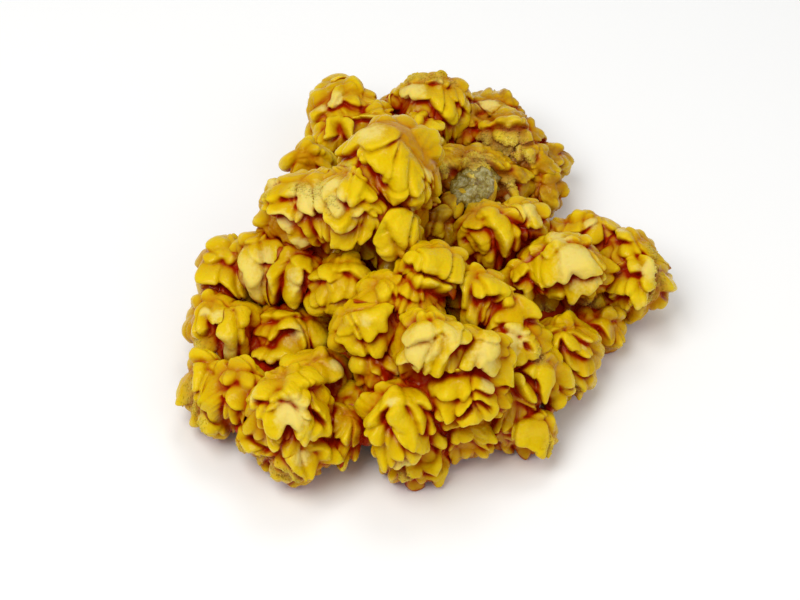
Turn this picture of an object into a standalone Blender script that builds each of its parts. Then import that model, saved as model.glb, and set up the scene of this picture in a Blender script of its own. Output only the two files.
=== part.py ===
"""Golden ear fungus: one lobed fruiting body, cut off flat where it grew on its log.

Millimetres are used throughout and turned into metres when a mesh is made. +X is to the right, +Y away
from the viewer and +Z up. The origin is the middle of the flat cut under the foot.

The body forks into lobes. Each lobe is made of a few ellipsoid masses, with thick, rounded folds on them that
run inwards to the masses' hearts. A fold is drawn once, along its crest: its points are picture coordinates
(x, y) in an 800 by 600 frame, seen from the eye point below, with the fold's half width there, also in picture
units. A crest point lies where the line of sight through it first meets one of the lobe's masses. The side that
the eye doesn't see gets folds by rule.
"""

import math
import random

import bmesh
import bpy
import numpy as np
from mathutils import Vector, noise
from mathutils.bvhtree import BVHTree

METRES = 0.001

# How the picture coordinates lie in space
FRAME_MIDDLE = (400.0, 300.0)
UNIT = 0.2466
EYE_DISTANCE = 600.0
EYE_ELEVATION = math.radians(46.0)
AIM = np.array([-5.9, 0.0, 0.0])

# The foot: heights above the cut, and its radius at each
FOOT_HEIGHTS = (0.0, 1.0, 4.0, 8.0, 11.5, 14.0, 15.0)
FOOT_RADII = (34.0, 36.0, 38.5, 37.0, 31.0, 20.0, 6.0)
FOOT_WAVES = ((3, 0.05, 0.4), (5, 0.03, 1.9), (8, 0.02, 0.7))
FOOT_SIDES = 40

# What the lobes' flesh shares
CORE_SHARE = 0.82
NECK_RADIUS = 6.0
CLEARANCE = 0.6
WANDER = 0.9
WANDER_LENGTH = 6.0
WANDER_SEED = 5

# The folds' sections
RISE_LEAST = 1.2
RISE_SHARE = 0.35
PILLOW = 0.75
FACING = 0.3
FULLNESS = 1.12
LEAN = 0.3

# How the lobes become solids: the grain they are grown together at, and the faces left for each square
# millimetre of their skin
GRAIN = 1.0
FINE_GRAIN = 0.7
FACES_PER_AREA = 0.235
CUTTER_FACES_PER_AREA = 0.9
GAP = 0.3
PLAY = 0.6
DRAW_BACK = 0.15
DRAW_BACK_STEPS = 12

SIGHT = np.array([0.0, math.cos(EYE_ELEVATION), -math.sin(EYE_ELEVATION)])
RIGHT = np.array([1.0, 0.0, 0.0])
UP = np.cross(RIGHT, SIGHT)
EYE = AIM - EYE_DISTANCE * SIGHT

# The masses that each lobe is made of: ellipsoids, each with its middle in the picture, its height above the
# ground and its half sizes along X, Y and Z
LOBES = {
    "crown_lobe": (
        ((392, 168), 38.0, (12.0, 12.0, 13.0)),
        ((350, 208), 36.0, (9.0, 9.0, 10.5)),
        ((311, 212), 32.0, (11.6, 10.0, 11.0)),
        ((393, 232), 31.0, (6.0, 6.5, 8.0)),
        ((309, 163), 28.0, (5.3, 5.0, 5.6)),
    ),
    "back_left_lobe": (
        ((343, 119), 14.0, (9.6, 9.0, 10.0)),
        ((336, 99), 14.0, (4.5, 5.0, 6.0)),
        ((373, 128), 16.0, (6.0, 7.0, 7.0)),
    ),
    "back_lobe": (
        ((432, 113), 16.0, (10.8, 9.5, 12.2)),
        ((420, 142), 18.0, (6.5, 7.0, 8.0)),
        ((394, 112), 13.0, (5.0, 6.0, 7.0)),
    ),
    "back_right_lobe": (
        ((492, 117), 12.0, (8.3, 7.0, 7.3)),
        ((508, 142), 14.0, (8.6, 8.0, 8.0)),
        ((549, 162), 10.0, (4.3, 5.0, 5.0)),
        ((530, 166), 13.0, (5.5, 6.0, 7.0)),
        ((541, 194), 10.0, (5.3, 5.5, 6.3)),
    ),
    "torn_lobe": (
        ((472, 180), 17.0, (9.5, 9.0, 8.5)),
        ((445, 178), 19.0, (5.0, 5.0, 7.0)),
        ((506, 184), 15.0, (5.0, 6.0, 7.0)),
        ((454, 212), 18.0, (4.2, 4.0, 5.0)),
        ((434, 228), 19.0, (5.0, 4.5, 4.6)),
        ((424, 208), 19.0, (4.4, 4.0, 5.0)),
    ),
    "right_lobe": (
        ((490, 238), 18.0, (9.0, 8.0, 10.0)),
        ((522, 222), 20.0, (6.0, 6.0, 6.5)),
        ((566, 272), 18.0, (11.0, 8.5, 10.0)),
        ((584, 236), 14.0, (10.0, 6.5, 6.5)),
        ((632, 257), 14.0, (7.0, 7.0, 8.0)),
        ((638, 286), 12.0, (7.6, 8.0, 9.0)),
        ((528, 284), 17.0, (6.5, 6.0, 7.0)),
    ),
    "left_lobe": (
        ((262, 268), 18.0, (8.0, 7.5, 10.0)),
        ((297, 276), 20.0, (6.5, 6.5, 9.0)),
        ((342, 288), 22.0, (7.5, 7.0, 8.5)),
    ),
    "far_left_lobe": (
        ((228, 272), 14.0, (7.4, 8.0, 8.4)),
        ((214, 326), 11.0, (7.0, 8.0, 9.0)),
        ((240, 330), 12.0, (4.5, 7.0, 8.0)),
    ),
    "inner_left_lobe": (
        ((285, 335), 10.0, (9.0, 8.0, 8.0)),
        ((317, 336), 10.0, (5.0, 6.0, 7.0)),
        ((275, 356), 9.0, (7.0, 5.0, 4.5)),
    ),
    "front_left_lobe": (
        ((207, 386), 10.0, (5.8, 8.0, 8.2)),
        ((214, 417), 7.0, (4.0, 4.5, 5.0)),
        ((238, 394), 13.0, (7.0, 8.0, 9.0)),
        ((288, 412), 17.0, (10.0, 9.0, 11.0)),
        ((318, 378), 13.0, (8.0, 6.0, 8.0)),
        ((299, 452), 9.0, (8.8, 8.0, 8.0)),
        ((345, 431), 10.0, (6.0, 6.5, 7.5)),
        ((261, 441), 8.0, (5.8, 5.0, 5.6)),
    ),
    "middle_lobe": (
        ((429, 270), 30.0, (7.5, 6.5, 7.5)),
        ((384, 302), 27.0, (6.0, 6.5, 9.0)),
        ((366, 328), 26.0, (8.0, 6.5, 8.0)),
        ((416, 304), 28.0, (7.5, 6.5, 7.0)),
        ((378, 372), 20.0, (6.0, 6.0, 6.0)),
        ((396, 338), 24.0, (4.5, 5.0, 6.0)),
    ),
    "front_lobe": (
        ((430, 348), 29.0, (9.0, 8.0, 10.0)),
        ((474, 358), 26.0, (8.0, 7.0, 8.5)),
        ((458, 394), 20.0, (11.0, 9.0, 10.0)),
        ((400, 424), 15.0, (9.5, 10.0, 13.0)),
        ((411, 465), 6.0, (5.2, 5.5, 6.0)),
        ((430, 455), 6.5, (4.4, 5.0, 6.0)),
        ((464, 432), 9.0, (7.0, 7.0, 8.0)),
        ((356, 402), 12.0, (4.5, 4.5, 5.0)),
    ),
    "front_right_lobe": (
        ((482, 296), 25.0, (7.0, 6.5, 8.0)),
        ((508, 318), 22.0, (5.5, 5.5, 7.0)),
        ((516, 346), 19.0, (6.5, 7.0, 8.0)),
        ((536, 378), 14.0, (6.5, 6.5, 8.0)),
        ((506, 396), 13.0, (7.0, 7.0, 8.0)),
        ((532, 432), 7.0, (5.8, 5.3, 6.2)),
        ((556, 397), 9.0, (3.4, 4.0, 4.6)),
        ((500, 424), 8.0, (5.0, 6.0, 6.0)),
    ),
    "under_right_lobe": (
        ((564, 350), 11.0, (8.2, 7.5, 8.6)),
        ((572, 375), 7.5, (4.6, 4.5, 5.0)),
        ((588, 330), 6.5, (8.5, 6.0, 5.5)),
        ((607, 327), 7.0, (3.8, 4.5, 5.0)),
    ),
}

# Lobes in the order in which they are fitted: a later lobe gives way to an earlier one
ORDER = (
    "crown_lobe",
    "middle_lobe",
    "front_lobe",
    "right_lobe",
    "front_right_lobe",
    "left_lobe",
    "inner_left_lobe",
    "front_left_lobe",
    "torn_lobe",
    "far_left_lobe",
    "back_lobe",
    "back_right_lobe",
    "back_left_lobe",
    "under_right_lobe",
)

# The folds of each lobe: what the fold is, its lift off the envelope in mm, then its crest
FOLDS = {
    "crown_lobe": (
        ("top flap", 0.5, (343, 149, 9), (356, 139, 13), (372, 135, 13), (386, 136, 9)),
        ("hook", 1.6, (368, 154, 8), (382, 154, 9), (394, 164, 10), (398, 177, 9), (394, 190, 6)),
        ("cheek", 0.6, (413, 172, 11), (415, 190, 13), (409, 201, 9)),
        ("cheek rim", -0.4, (403, 151, 6), (416, 158, 7), (427, 171, 9), (431, 186, 7)),
        ("upper pillow", 0.6, (332, 166, 6), (345, 163, 6), (357, 166, 7), (367, 174, 6)),
        ("lower pillow", 1.4, (350, 187, 8), (361, 185, 11), (369, 189, 8)),
        ("pillow foot", 0.7, (354, 203, 6), (365, 201, 7), (374, 206, 6)),
        ("ball, right", 1.2, (390, 213, 10), (402, 223, 11), (405, 237, 9)),
        ("ball, left", 1.8, (379, 220, 7), (384, 233, 9), (388, 243, 7)),
        ("ball, under right", -1.5, (409, 238, 5), (403, 250, 8), (393, 258, 8)),
        ("ball, under", -2.5, (384, 260, 7), (372, 256, 8)),
        ("under lip", -1.2, (370, 240, 6), (361, 246, 8)),
        ("plateau", 0.2, (310, 202, 12), (322, 192, 15), (336, 203, 15), (345, 214, 10)),
        ("left round", -0.4, (272, 193, 11), (284, 187, 11), (298, 190, 10)),
        ("left tongue", 0.5, (267, 204, 6), (281, 208, 6), (296, 214, 4)),
        ("left sheet", -0.8, (268, 219, 4), (280, 230, 6), (294, 240, 7), (304, 249, 5)),
        ("sheet fold", -1.0, (299, 222, 7), (309, 236, 6), (311, 252, 5)),
        ("arc", 1.0, (322, 227, 4), (335, 232, 5), (348, 236, 7), (360, 232, 7), (367, 220, 7)),
        ("keel", -0.3, (327, 236, 4), (338, 247, 5), (349, 254, 6)),
    ),
    "back_left_lobe": (
        ("left flap", -0.5, (319, 106, 9), (316, 120, 10), (320, 136, 10), (326, 144, 7)),
        ("peak", 0.0, (334, 85, 6), (335, 97, 9)),
        ("top right flap", -0.6, (346, 93, 6), (357, 95, 8), (366, 98, 6)),
        ("arch", 1.0, (329, 130, 5), (333, 120, 6), (340, 117, 6), (347, 126, 5), (351, 134, 4)),
        ("middle", 0.5, (352, 119, 6), (361, 113, 7), (371, 113, 5)),
        ("right shoulder", -0.2, (372, 105, 6), (385, 105, 7)),
        ("wedge", 0.4, (392, 106, 6), (400, 118, 7), (402, 132, 5)),
        ("wedge inner", 0.8, (383, 112, 5), (392, 125, 6), (397, 138, 4)),
        ("knob", 0.4, (306, 163, 15), (313, 161, 14)),
        ("knob neighbour", 0.0, (321, 152, 5), (330, 160, 7)),
    ),
    "back_lobe": (
        ("brow", 0.3, (403, 92, 7), (416, 91, 9), (428, 94, 7)),
        ("fringe", -1.0, (410, 81, 4), (423, 78, 4), (435, 75, 6), (447, 81, 6)),
        ("round flap", 1.0, (440, 100, 9), (448, 110, 9)),
        ("right fold", 0.4, (460, 96, 6), (467, 108, 7), (462, 121, 6), (450, 131, 4)),
        ("first frill", 0.6, (428, 111, 5), (418, 115, 5), (413, 125, 5)),
        ("second frill", 1.1, (441, 121, 4), (431, 125, 4), (429, 134, 4), (434, 141, 4)),
        ("third frill", 1.0, (420, 130, 3), (410, 134, 4), (404, 140, 4), (411, 147, 4)),
        ("fourth frill", 0.4, (430, 143, 5), (422, 149, 5), (418, 155, 3)),
        ("fifth frill", 0.4, (448, 140, 5), (438, 149, 5), (432, 157, 4)),
        ("sixth frill", 0.0, (463, 127, 4), (452, 134, 4)),
        ("left shoulder", -0.5, (389, 98, 6), (399, 89, 6)),
        ("small fold", 0.0, (467, 95, 4), (474, 99, 5)),
    ),
    "back_right_lobe": (
        ("rough back", -0.3, (480, 106, 9), (494, 104, 9), (506, 108, 6)),
        ("back knob", 0.5, (508, 121, 8), (519, 121, 8)),
        ("back fold", -0.5, (477, 123, 7), (490, 124, 6)),
        ("inner lumps", -1.2, (474, 140, 5), (486, 138, 5)),
        ("ridge", 0.2, (498, 136, 5), (511, 137, 6), (524, 138, 5)),
        ("low ridge", 0.2, (487, 147, 4), (498, 145, 5), (506, 149, 5), (513, 161, 5)),
        ("cross fold", 0.0, (515, 146, 4), (519, 155, 5)),
        ("dark round", -0.4, (530, 150, 8), (535, 160, 9)),
        ("right knob", 0.2, (553, 156, 10), (548, 166, 9)),
        ("lower knob", 0.0, (548, 190, 7), (551, 199, 8)),
        ("low tip", -0.6, (546, 207, 5), (540, 210, 5)),
    ),
    "torn_lobe": (
        ("first bead", 0.2, (457, 160, 7), (460, 163, 7)),
        ("second bead", 0.2, (475, 154, 5), (480, 157, 5)),
        ("third bead", 0.6, (491, 158, 7), (495, 162, 6)),
        ("fourth bead", 0.0, (442, 163, 4), (445, 175, 4)),
        ("torn flap", 0.8, (474, 172, 8), (480, 186, 12), (473, 203, 8)),
        ("torn corner", 0.2, (458, 186, 7), (464, 190, 8)),
        ("torn bead", 0.0, (510, 184, 4), (514, 192, 4)),
        ("pale bead", 1.0, (450, 207, 6), (452, 209, 6)),
        ("inner bead", -1.0, (432, 200, 6), (437, 205, 6)),
        ("shade bead", -2.0, (418, 212, 7), (420, 214, 7)),
        ("green bead", 0.0, (431, 229, 7), (440, 227, 7)),
        ("low bead", -0.5, (454, 222, 5), (464, 219, 5)),
    ),
    "right_lobe": (
        ("first finger", 0.0, (466, 230, 4), (463, 243, 5), (471, 254, 4)),
        ("second finger", -0.4, (474, 240, 4), (480, 256, 4), (484, 270, 4)),
        ("third finger", 0.4, (483, 236, 5), (487, 250, 5), (493, 264, 5)),
        ("finger root", 0.0, (470, 224, 5), (480, 221, 5)),
        ("slope", 0.8, (488, 212, 6), (496, 221, 7), (503, 233, 7), (507, 246, 4)),
        ("bright lobe", 1.0, (513, 211, 7), (524, 208, 8), (530, 217, 8)),
        ("small drop", 0.2, (514, 227, 5), (517, 241, 5)),
        ("second drop", 0.0, (527, 232, 5), (526, 246, 4)),
        ("shoulder", 0.6, (538, 230, 7), (537, 246, 6)),
        ("shell", 1.2, (550, 230, 7), (558, 240, 8), (551, 250, 6)),
        ("leaf", 1.8, (542, 270, 7), (560, 263, 10), (578, 258, 11), (591, 261, 8)),
        ("leaf under", 0.8, (556, 292, 7), (576, 286, 10), (592, 277, 9), (600, 270, 5)),
        ("leaf edge", -0.4, (577, 306, 4), (590, 300, 5), (598, 289, 4)),
        ("wet frill", 0.0, (513, 258, 5), (520, 256, 4)),
        ("wet fold", 0.6, (510, 274, 4), (520, 269, 5), (531, 263, 4)),
        ("wet toe", 0.0, (511, 284, 4), (523, 281, 4)),
        ("wet drop", 0.2, (528, 285, 5), (530, 297, 5)),
        ("low fold", 0.0, (540, 277, 5), (551, 284, 5)),
        ("low lip", -0.5, (531, 305, 4), (544, 306, 5), (554, 303, 4)),
        ("top ridge", 0.0, (548, 218, 6), (562, 221, 6), (578, 221, 6), (592, 223, 6)),
        ("top bump", -0.6, (585, 213, 4), (592, 214, 5)),
        ("second ridge", 0.4, (570, 235, 5), (586, 237, 6), (601, 233, 6)),
        ("right shoulder", 0.0, (605, 222, 6), (619, 227, 8), (629, 236, 6)),
        ("fan", 0.0, (640, 246, 7), (646, 262, 9), (648, 280, 9), (642, 296, 8)),
        ("fan fringe", -1.2, (655, 254, 5), (661, 276, 5), (655, 298, 5), (647, 312, 5)),
        ("fan inner", 0.6, (606, 250, 7), (616, 262, 8)),
        ("fan petal", 1.0, (612, 280, 8), (626, 288, 8), (637, 299, 5)),
        ("petal under", -0.4, (610, 302, 6), (626, 306, 5)),
        ("fan heart", 0.4, (624, 250, 7), (630, 266, 8)),
    ),
    "left_lobe": (
        ("top left", -0.5, (246, 240, 6), (257, 238, 6), (264, 230, 4)),
        ("pale panel", 1.0, (248, 258, 8), (257, 272, 10), (268, 287, 9), (274, 298, 7)),
        ("panel top", 0.6, (253, 250, 6), (264, 252, 7), (273, 257, 7)),
        ("panel ridge", 1.7, (274, 266, 4), (276, 282, 4), (275, 298, 4)),
        ("valley", -0.8, (288, 254, 5), (286, 276, 6), (288, 296, 6)),
        ("second panel", 0.6, (299, 262, 7), (295, 278, 8), (297, 293, 8)),
        ("hook ridge", 1.0, (304, 262, 5), (313, 268, 6), (324, 270, 6), (334, 274, 6)),
        ("hollow", -1.5, (310, 284, 7), (313, 292, 6)),
        ("right arch", 0.8, (339, 266, 4), (351, 267, 5), (361, 274, 6), (365, 286, 6)),
        ("belly", 0.8, (322, 292, 7), (337, 287, 8), (352, 289, 8)),
        ("lower belly", 0.8, (326, 302, 6), (342, 302, 8), (353, 302, 6)),
        ("under fold", -1.0, (333, 311, 6), (327, 318, 4)),
        ("under bump", -1.8, (312, 305, 6), (314, 307, 6)),
    ),
    "far_left_lobe": (
        ("top", -0.4, (209, 253, 7), (220, 249, 9), (232, 252, 8)),
        ("big fold", 1.0, (208, 270, 8), (223, 272, 8), (238, 280, 8), (247, 292, 7), (250, 303, 4)),
        ("left bump", 0.0, (207, 280, 7), (214, 288, 6)),
        ("valley", -1.4, (222, 292, 7), (236, 298, 7)),
        ("left flap", 0.0, (201, 307, 9), (198, 322, 10), (200, 338, 9), (207, 346, 7)),
        ("pale ridge", 1.2, (222, 314, 8), (230, 325, 8), (233, 340, 6), (233, 354, 5)),
        ("right wall", 0.2, (243, 310, 6), (242, 325, 6), (242, 341, 5), (246, 352, 4)),
        ("low left bump", 0.0, (219, 351, 4), (226, 357, 4)),
    ),
    "inner_left_lobe": (
        ("back wall", -0.5, (262, 312, 9), (280, 312, 9), (298, 311, 7)),
        ("left wall", -0.5, (259, 328, 8), (266, 340, 6)),
        ("shaded fold", 0.8, (272, 338, 5), (282, 329, 6), (294, 327, 6), (301, 337, 6), (303, 347, 5)),
        ("dark round", 0.0, (315, 332, 9), (317, 344, 9)),
        ("leaf", 0.8, (258, 354, 5), (272, 357, 8), (289, 354, 6), (302, 352, 3)),
    ),
    "front_left_lobe": (
        ("far flap", 0.0, (199, 369, 8), (205, 384, 11), (210, 400, 11), (212, 417, 10), (212, 425, 8)),
        ("far rim", -1.0, (186, 384, 4), (192, 397, 4), (199, 410, 4)),
        ("inner slope", -1.5, (225, 370, 9), (227, 386, 8)),
        ("second slope", -0.6, (246, 374, 8), (247, 388, 7)),
        ("knuckle", 0.6, (232, 397, 6), (242, 397, 6), (252, 393, 4)),
        ("low knuckle", 0.0, (228, 410, 6), (239, 413, 7)),
        ("toe", -0.6, (240, 423, 5), (246, 428, 4)),
        ("hook", 1.0, (255, 408, 5), (256, 396, 6), (264, 387, 7), (274, 387, 6), (279, 394, 4)),
        ("long fold", 1.0, (291, 389, 8), (304, 379, 9), (318, 374, 8), (333, 367, 5)),
        ("long fold rim", -0.8, (322, 362, 3), (337, 366, 6), (346, 377, 6), (340, 389, 5)),
        ("bright knob", 1.6, (301, 396, 7), (301, 407, 8)),
        ("ring", 1.2, (316, 401, 6), (325, 409, 6), (325, 421, 5), (314, 427, 6)),
        ("cream fold", 2.2, (268, 413, 4), (275, 421, 5), (284, 414, 5), (294, 417, 6), (303, 428, 6), (312, 431, 4)),
        ("small crest", 1.4, (269, 405, 4), (276, 402, 4)),
        ("left lip", 0.5, (261, 424, 4), (269, 430, 5), (273, 437, 6)),
        ("low leaf", 0.6, (289, 445, 7), (300, 455, 8), (312, 466, 8)),
        ("right leaf", 0.0, (321, 445, 9), (330, 451, 7)),
        ("right flap", -0.4, (336, 424, 9), (346, 431, 9), (351, 440, 7)),
        ("low left flap", -0.8, (248, 440, 8), (261, 446, 8)),
        ("low rim", -1.4, (241, 449, 3), (253, 455, 4), (265, 460, 4)),
        ("bottom flap", -0.6, (275, 458, 8), (290, 465, 9), (298, 474, 6)),
        ("bottom right", -1.2, (327, 466, 6), (314, 474, 4)),
    ),
    "middle_lobe": (
        ("knob", 1.6, (420, 262, 12), (435, 268, 13), (447, 267, 11)),
        ("knob base", 1.2, (429, 283, 8), (445, 285, 8)),
        ("knob side", -1.0, (409, 266, 7), (409, 277, 7)),
        ("tall fold", 0.8, (382, 285, 6), (380, 298, 7), (384, 310, 7)),
        ("tall fold, left", -1.2, (370, 298, 6), (367, 311, 6)),
        ("tall fold, right", 0.4, (392, 289, 5), (394, 304, 5)),
        ("big leaf", 1.5, (349, 336, 10), (363, 334, 13), (378, 326, 12), (386, 315, 8)),
        ("upper patch", 0.2, (400, 288, 4), (412, 291, 6), (423, 297, 5)),
        ("lower patch", 0.6, (404, 304, 6), (416, 308, 7), (430, 312, 6)),
        ("shade bead", -2.0, (440, 302, 6), (444, 310, 6)),
        ("strap", 0.4, (402, 323, 5), (398, 335, 5), (393, 348, 5), (392, 360, 5)),
        ("strap side", 0.0, (379, 346, 5), (387, 343, 3)),
        ("under leaf", -2.0, (367, 366, 8), (378, 364, 8), (388, 373, 7)),
    ),
    "front_lobe": (
        ("cream panel", 1.4, (418, 336, 12), (428, 348, 14), (426, 362, 9)),
        ("panel wing", 1.0, (446, 330, 9), (460, 334, 9)),
        ("panel ridge", 2.2, (456, 327, 4), (447, 338, 4), (443, 352, 4), (441, 366, 3)),
        ("panel toe", 1.2, (400, 358, 4), (411, 355, 4)),
        ("second panel", 0.8, (456, 362, 7), (470, 357, 9), (486, 352, 9), (493, 362, 6)),
        ("second panel top", 0.4, (478, 338, 5), (490, 340, 6)),
        ("apron", 0.2, (434, 388, 7), (452, 385, 9), (470, 384, 9), (488, 378, 8)),
        ("cup", 1.2, (464, 399, 4), (475, 396, 4), (488, 397, 4), (491, 406, 4), (480, 413, 5), (467, 412, 5)),
        ("cup floor", -0.6, (478, 404, 7), (480, 405, 7)),
        ("middle", 0.6, (418, 395, 8), (434, 400, 9), (450, 402, 8)),
        ("middle drop", 0.2, (431, 413, 8), (432, 423, 7)),
        ("outer swirl", 0.6, (394, 389, 6), (384, 399, 8), (375, 411, 10), (378, 428, 9), (385, 442, 8), (387, 456, 8)),
        ("inner swirl", 1.8, (393, 401, 5), (396, 414, 6), (403, 427, 6), (412, 437, 5), (421, 441, 4)),
        ("swirl heart", 0.4, (408, 397, 6), (414, 409, 7), (419, 421, 6)),
        ("skirt", 0.6, (398, 447, 9), (412, 450, 9), (424, 443, 6)),
        ("skirt hem", 0.2, (400, 461, 7), (414, 464, 8), (419, 470, 5)),
        ("skirt tip", 0.0, (375, 457, 4), (379, 461, 4)),
        ("bottom toe", -1.0, (404, 476, 8), (412, 478, 6)),
        ("shade", -2.2, (436, 447, 8), (440, 460, 5)),
        ("low right", -0.4, (446, 430, 8), (459, 435, 10), (469, 437, 8)),
        ("brown gap", -1.8, (482, 422, 8), (484, 428, 8)),
        ("finger", -0.6, (486, 440, 5), (489, 446, 6)),
        ("side bead", -1.0, (350, 400, 8), (358, 402, 7)),
    ),
    "front_right_lobe": (
        ("cup rim, left", 0.8, (466, 282, 6), (464, 297, 6), (468, 309, 6), (480, 312, 5), (487, 303, 4)),
        ("cup rim, top", 1.2, (475, 286, 5), (489, 285, 8), (502, 289, 7), (504, 300, 5)),
        ("small drop", 0.0, (491, 310, 6), (487, 321, 6)),
        ("shade drop", -1.6, (470, 322, 6), (474, 330, 5)),
        ("shoulder", 0.6, (502, 312, 7), (510, 318, 7), (519, 324, 6)),
        ("pale patch", 0.8, (511, 337, 8), (515, 350, 8)),
        ("ringlet", 0.4, (528, 332, 5), (533, 341, 5), (529, 349, 4)),
        ("saddle", 0.3, (504, 354, 6), (518, 358, 6)),
        ("pale tongue", 1.0, (505, 369, 5), (513, 364, 5)),
        ("ball", 0.6, (533, 367, 9), (544, 376, 9), (545, 389, 7)),
        ("frill", 0.8, (517, 373, 5), (523, 384, 6), (529, 393, 6)),
        ("frill toe", 0.2, (527, 401, 4), (537, 403, 4)),
        ("side bead", -0.6, (560, 391, 5), (556, 400, 5)),
        ("hollow", -2.0, (506, 390, 8), (506, 402, 8)),
        ("low fold", -0.2, (499, 424, 6), (514, 425, 6)),
        ("bottom ball", 0.4, (526, 430, 12), (539, 435, 12), (543, 445, 7)),
        ("ball shoulder", -0.4, (549, 412, 6), (553, 421, 5)),
        ("grain bead", -0.8, (540, 354, 4), (544, 358, 4)),
    ),
    "under_right_lobe": (
        ("top ridge", 0.4, (540, 332, 5), (554, 325, 6), (565, 322, 5)),
        ("leaf", 0.2, (554, 340, 8), (563, 333, 7), (574, 340, 8)),
        ("heart", -0.8, (566, 355, 9), (575, 360, 8)),
        ("first rim", 0.4, (580, 330, 4), (590, 333, 4)),
        ("second rim", 0.4, (583, 345, 6), (591, 347, 4)),
        ("third rim", 0.2, (582, 364, 6), (589, 366, 5)),
        ("cup", 0.2, (566, 377, 5), (576, 374, 5), (582, 380, 5)),
        ("low rim", -0.2, (568, 388, 5), (577, 387, 5)),
        ("dark panel", -1.0, (600, 318, 9), (610, 332, 8), (600, 338, 7)),
    ),
}


def sight_line(x, y):
    """The direction in which the eye sees picture point (x, y)."""
    across = (x - FRAME_MIDDLE[0]) * UNIT
    above = (FRAME_MIDDLE[1] - y) * UNIT
    direction = AIM + across * RIGHT + above * UP - EYE
    return direction / np.linalg.norm(direction)


def seen_at(x, y, height):
    """The point at that height which the eye sees at picture point (x, y)."""
    direction = sight_line(x, y)
    return EYE + direction * (height - EYE[2]) / direction[2]


class Mass:
    """One ellipsoid of a lobe, and the heart that the folds on it run in to."""

    def __init__(self, middle, height, half_sizes):
        self.centre = seen_at(*middle, height)
        self.half_sizes = np.array(half_sizes)
        self.root = np.array([0.45 * self.centre[0], 0.45 * self.centre[1], 6.0])
        self.heart = self.centre + 0.35 * (self.root - self.centre)

    def normal(self, point):
        outward = (point - self.centre) / self.half_sizes**2
        return outward / np.linalg.norm(outward)

    def meets(self, start, direction):
        """How far along the line it first meets the ellipsoid, or passes it closest, and how far off it then is."""
        start, along = (start - self.centre) / self.half_sizes, direction / self.half_sizes
        closest = -(start @ along) / (along @ along)
        miss = np.linalg.norm(start + closest * along)
        return closest - math.sqrt(max(0.0, 1.0 - miss * miss) / (along @ along)), max(0.0, miss - 1.0)


class Lobe:
    """The masses of one lobe."""

    def __init__(self, masses):
        self.masses = [Mass(*mass) for mass in masses]

    def crest_point(self, x, y):
        """The first point of the lobe on the line of sight, or where the line passes it closest, and its mass."""
        direction = sight_line(x, y)
        found = [(*mass.meets(EYE, direction)[::-1], i) for i, mass in enumerate(self.masses)]
        _, distance, i = min(found)
        return EYE + distance * direction, self.masses[i]


def smooth_line(points, step):
    """Catmull-Rom points through the given ones, about one step apart in the first two coordinates."""
    points = np.array(points, float)
    ends = np.vstack([2 * points[0] - points[1], points, 2 * points[-1] - points[-2]])
    line = []
    for before, start, end, after in zip(ends, ends[1:], ends[2:], ends[3:]):
        count = max(2, math.ceil(np.linalg.norm((end - start)[:2]) / step))
        for t in np.arange(count) / count:
            line.append(
                0.5
                * (
                    2 * start
                    + (end - before) * t
                    + (2 * before - 5 * start + 4 * end - after) * t * t
                    + (3 * start - before - 3 * end + after) * t**3
                )
            )
    return np.array([*line, points[-1]])


def with_round_ends(line):
    """The line carried on by its own half width at each end, and the share of its section left at each point."""
    angles = np.radians([25.0, 45.0, 62.0, 78.0])
    ends = []
    for end, inner, order in ((line[0], line[1], -1), (line[-1], line[-2], 1)):
        outward = (end - inner)[:2] / np.linalg.norm((end - inner)[:2])
        cap = [(*(end[:2] + outward * end[2] * math.sin(a)), end[2], math.cos(a)) for a in angles]
        ends.append(cap[::order])
    return np.vstack([ends[0], np.column_stack([line, np.ones(len(line))]), ends[1]])


def tube_faces(stations, sides):
    """The quads of a tube of that many stations, with its two end caps."""
    faces = []
    for i in range(stations - 1):
        for j in range(sides):
            k = (j + 1) % sides
            faces.append((i * sides + j, i * sides + k, (i + 1) * sides + k, (i + 1) * sides + j))
    faces.append(tuple(reversed(range(sides))))
    faces.append(tuple(range((stations - 1) * sides, stations * sides)))
    return faces


def fold_mesh(lobe, lift, crest, lean, step, sides):
    """One fold of a lobe, with rounded ends."""
    line = with_round_ends(smooth_line(crest, step))
    found = [lobe.crest_point(x, y) for x, y, _, _ in line]
    centres = np.array([point for point, _ in found])
    masses = [mass for _, mass in found]
    return ridge_mesh(masses, centres, line[:, 2] * UNIT * FULLNESS, line[:, 3], lift, lean, sides)


def ridge_mesh(masses, centres, widths, shares, lift, lean, sides):
    """Points and faces of a rounded ridge along the centres, whose flanks run in to the hearts of its masses."""
    tangents = np.gradient(centres, axis=0)
    angles = 2 * math.pi * np.arange(sides) / sides
    points = []
    for mass, centre, tangent, width, share in zip(masses, centres, tangents, widths, shares):
        outward = mass.normal(centre) - FACING * SIGHT
        outward /= np.linalg.norm(outward)
        across = np.cross(tangent, outward)
        across /= max(np.linalg.norm(across), 1e-9)
        inward = mass.heart - centre
        reach = min(0.8 * np.linalg.norm(inward), 3.0 + 2.2 * width)
        inward /= np.linalg.norm(inward)
        rise = min(width, RISE_LEAST + RISE_SHARE * width)
        for angle in angles:
            side = math.copysign(abs(math.cos(angle)) ** PILLOW, math.cos(angle))
            top = math.copysign(abs(math.sin(angle)) ** PILLOW, math.sin(angle))
            if top >= 0:
                offset = side * width * across + top * rise * outward
            else:
                offset = side * width * (1 + 0.35 * top) * across - top * reach * inward
            offset = offset + (side * width * across) @ lean * outward
            points.append(centre + (lift - rise) * outward + share * offset)
    return points, tube_faces(len(centres), sides)


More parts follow.
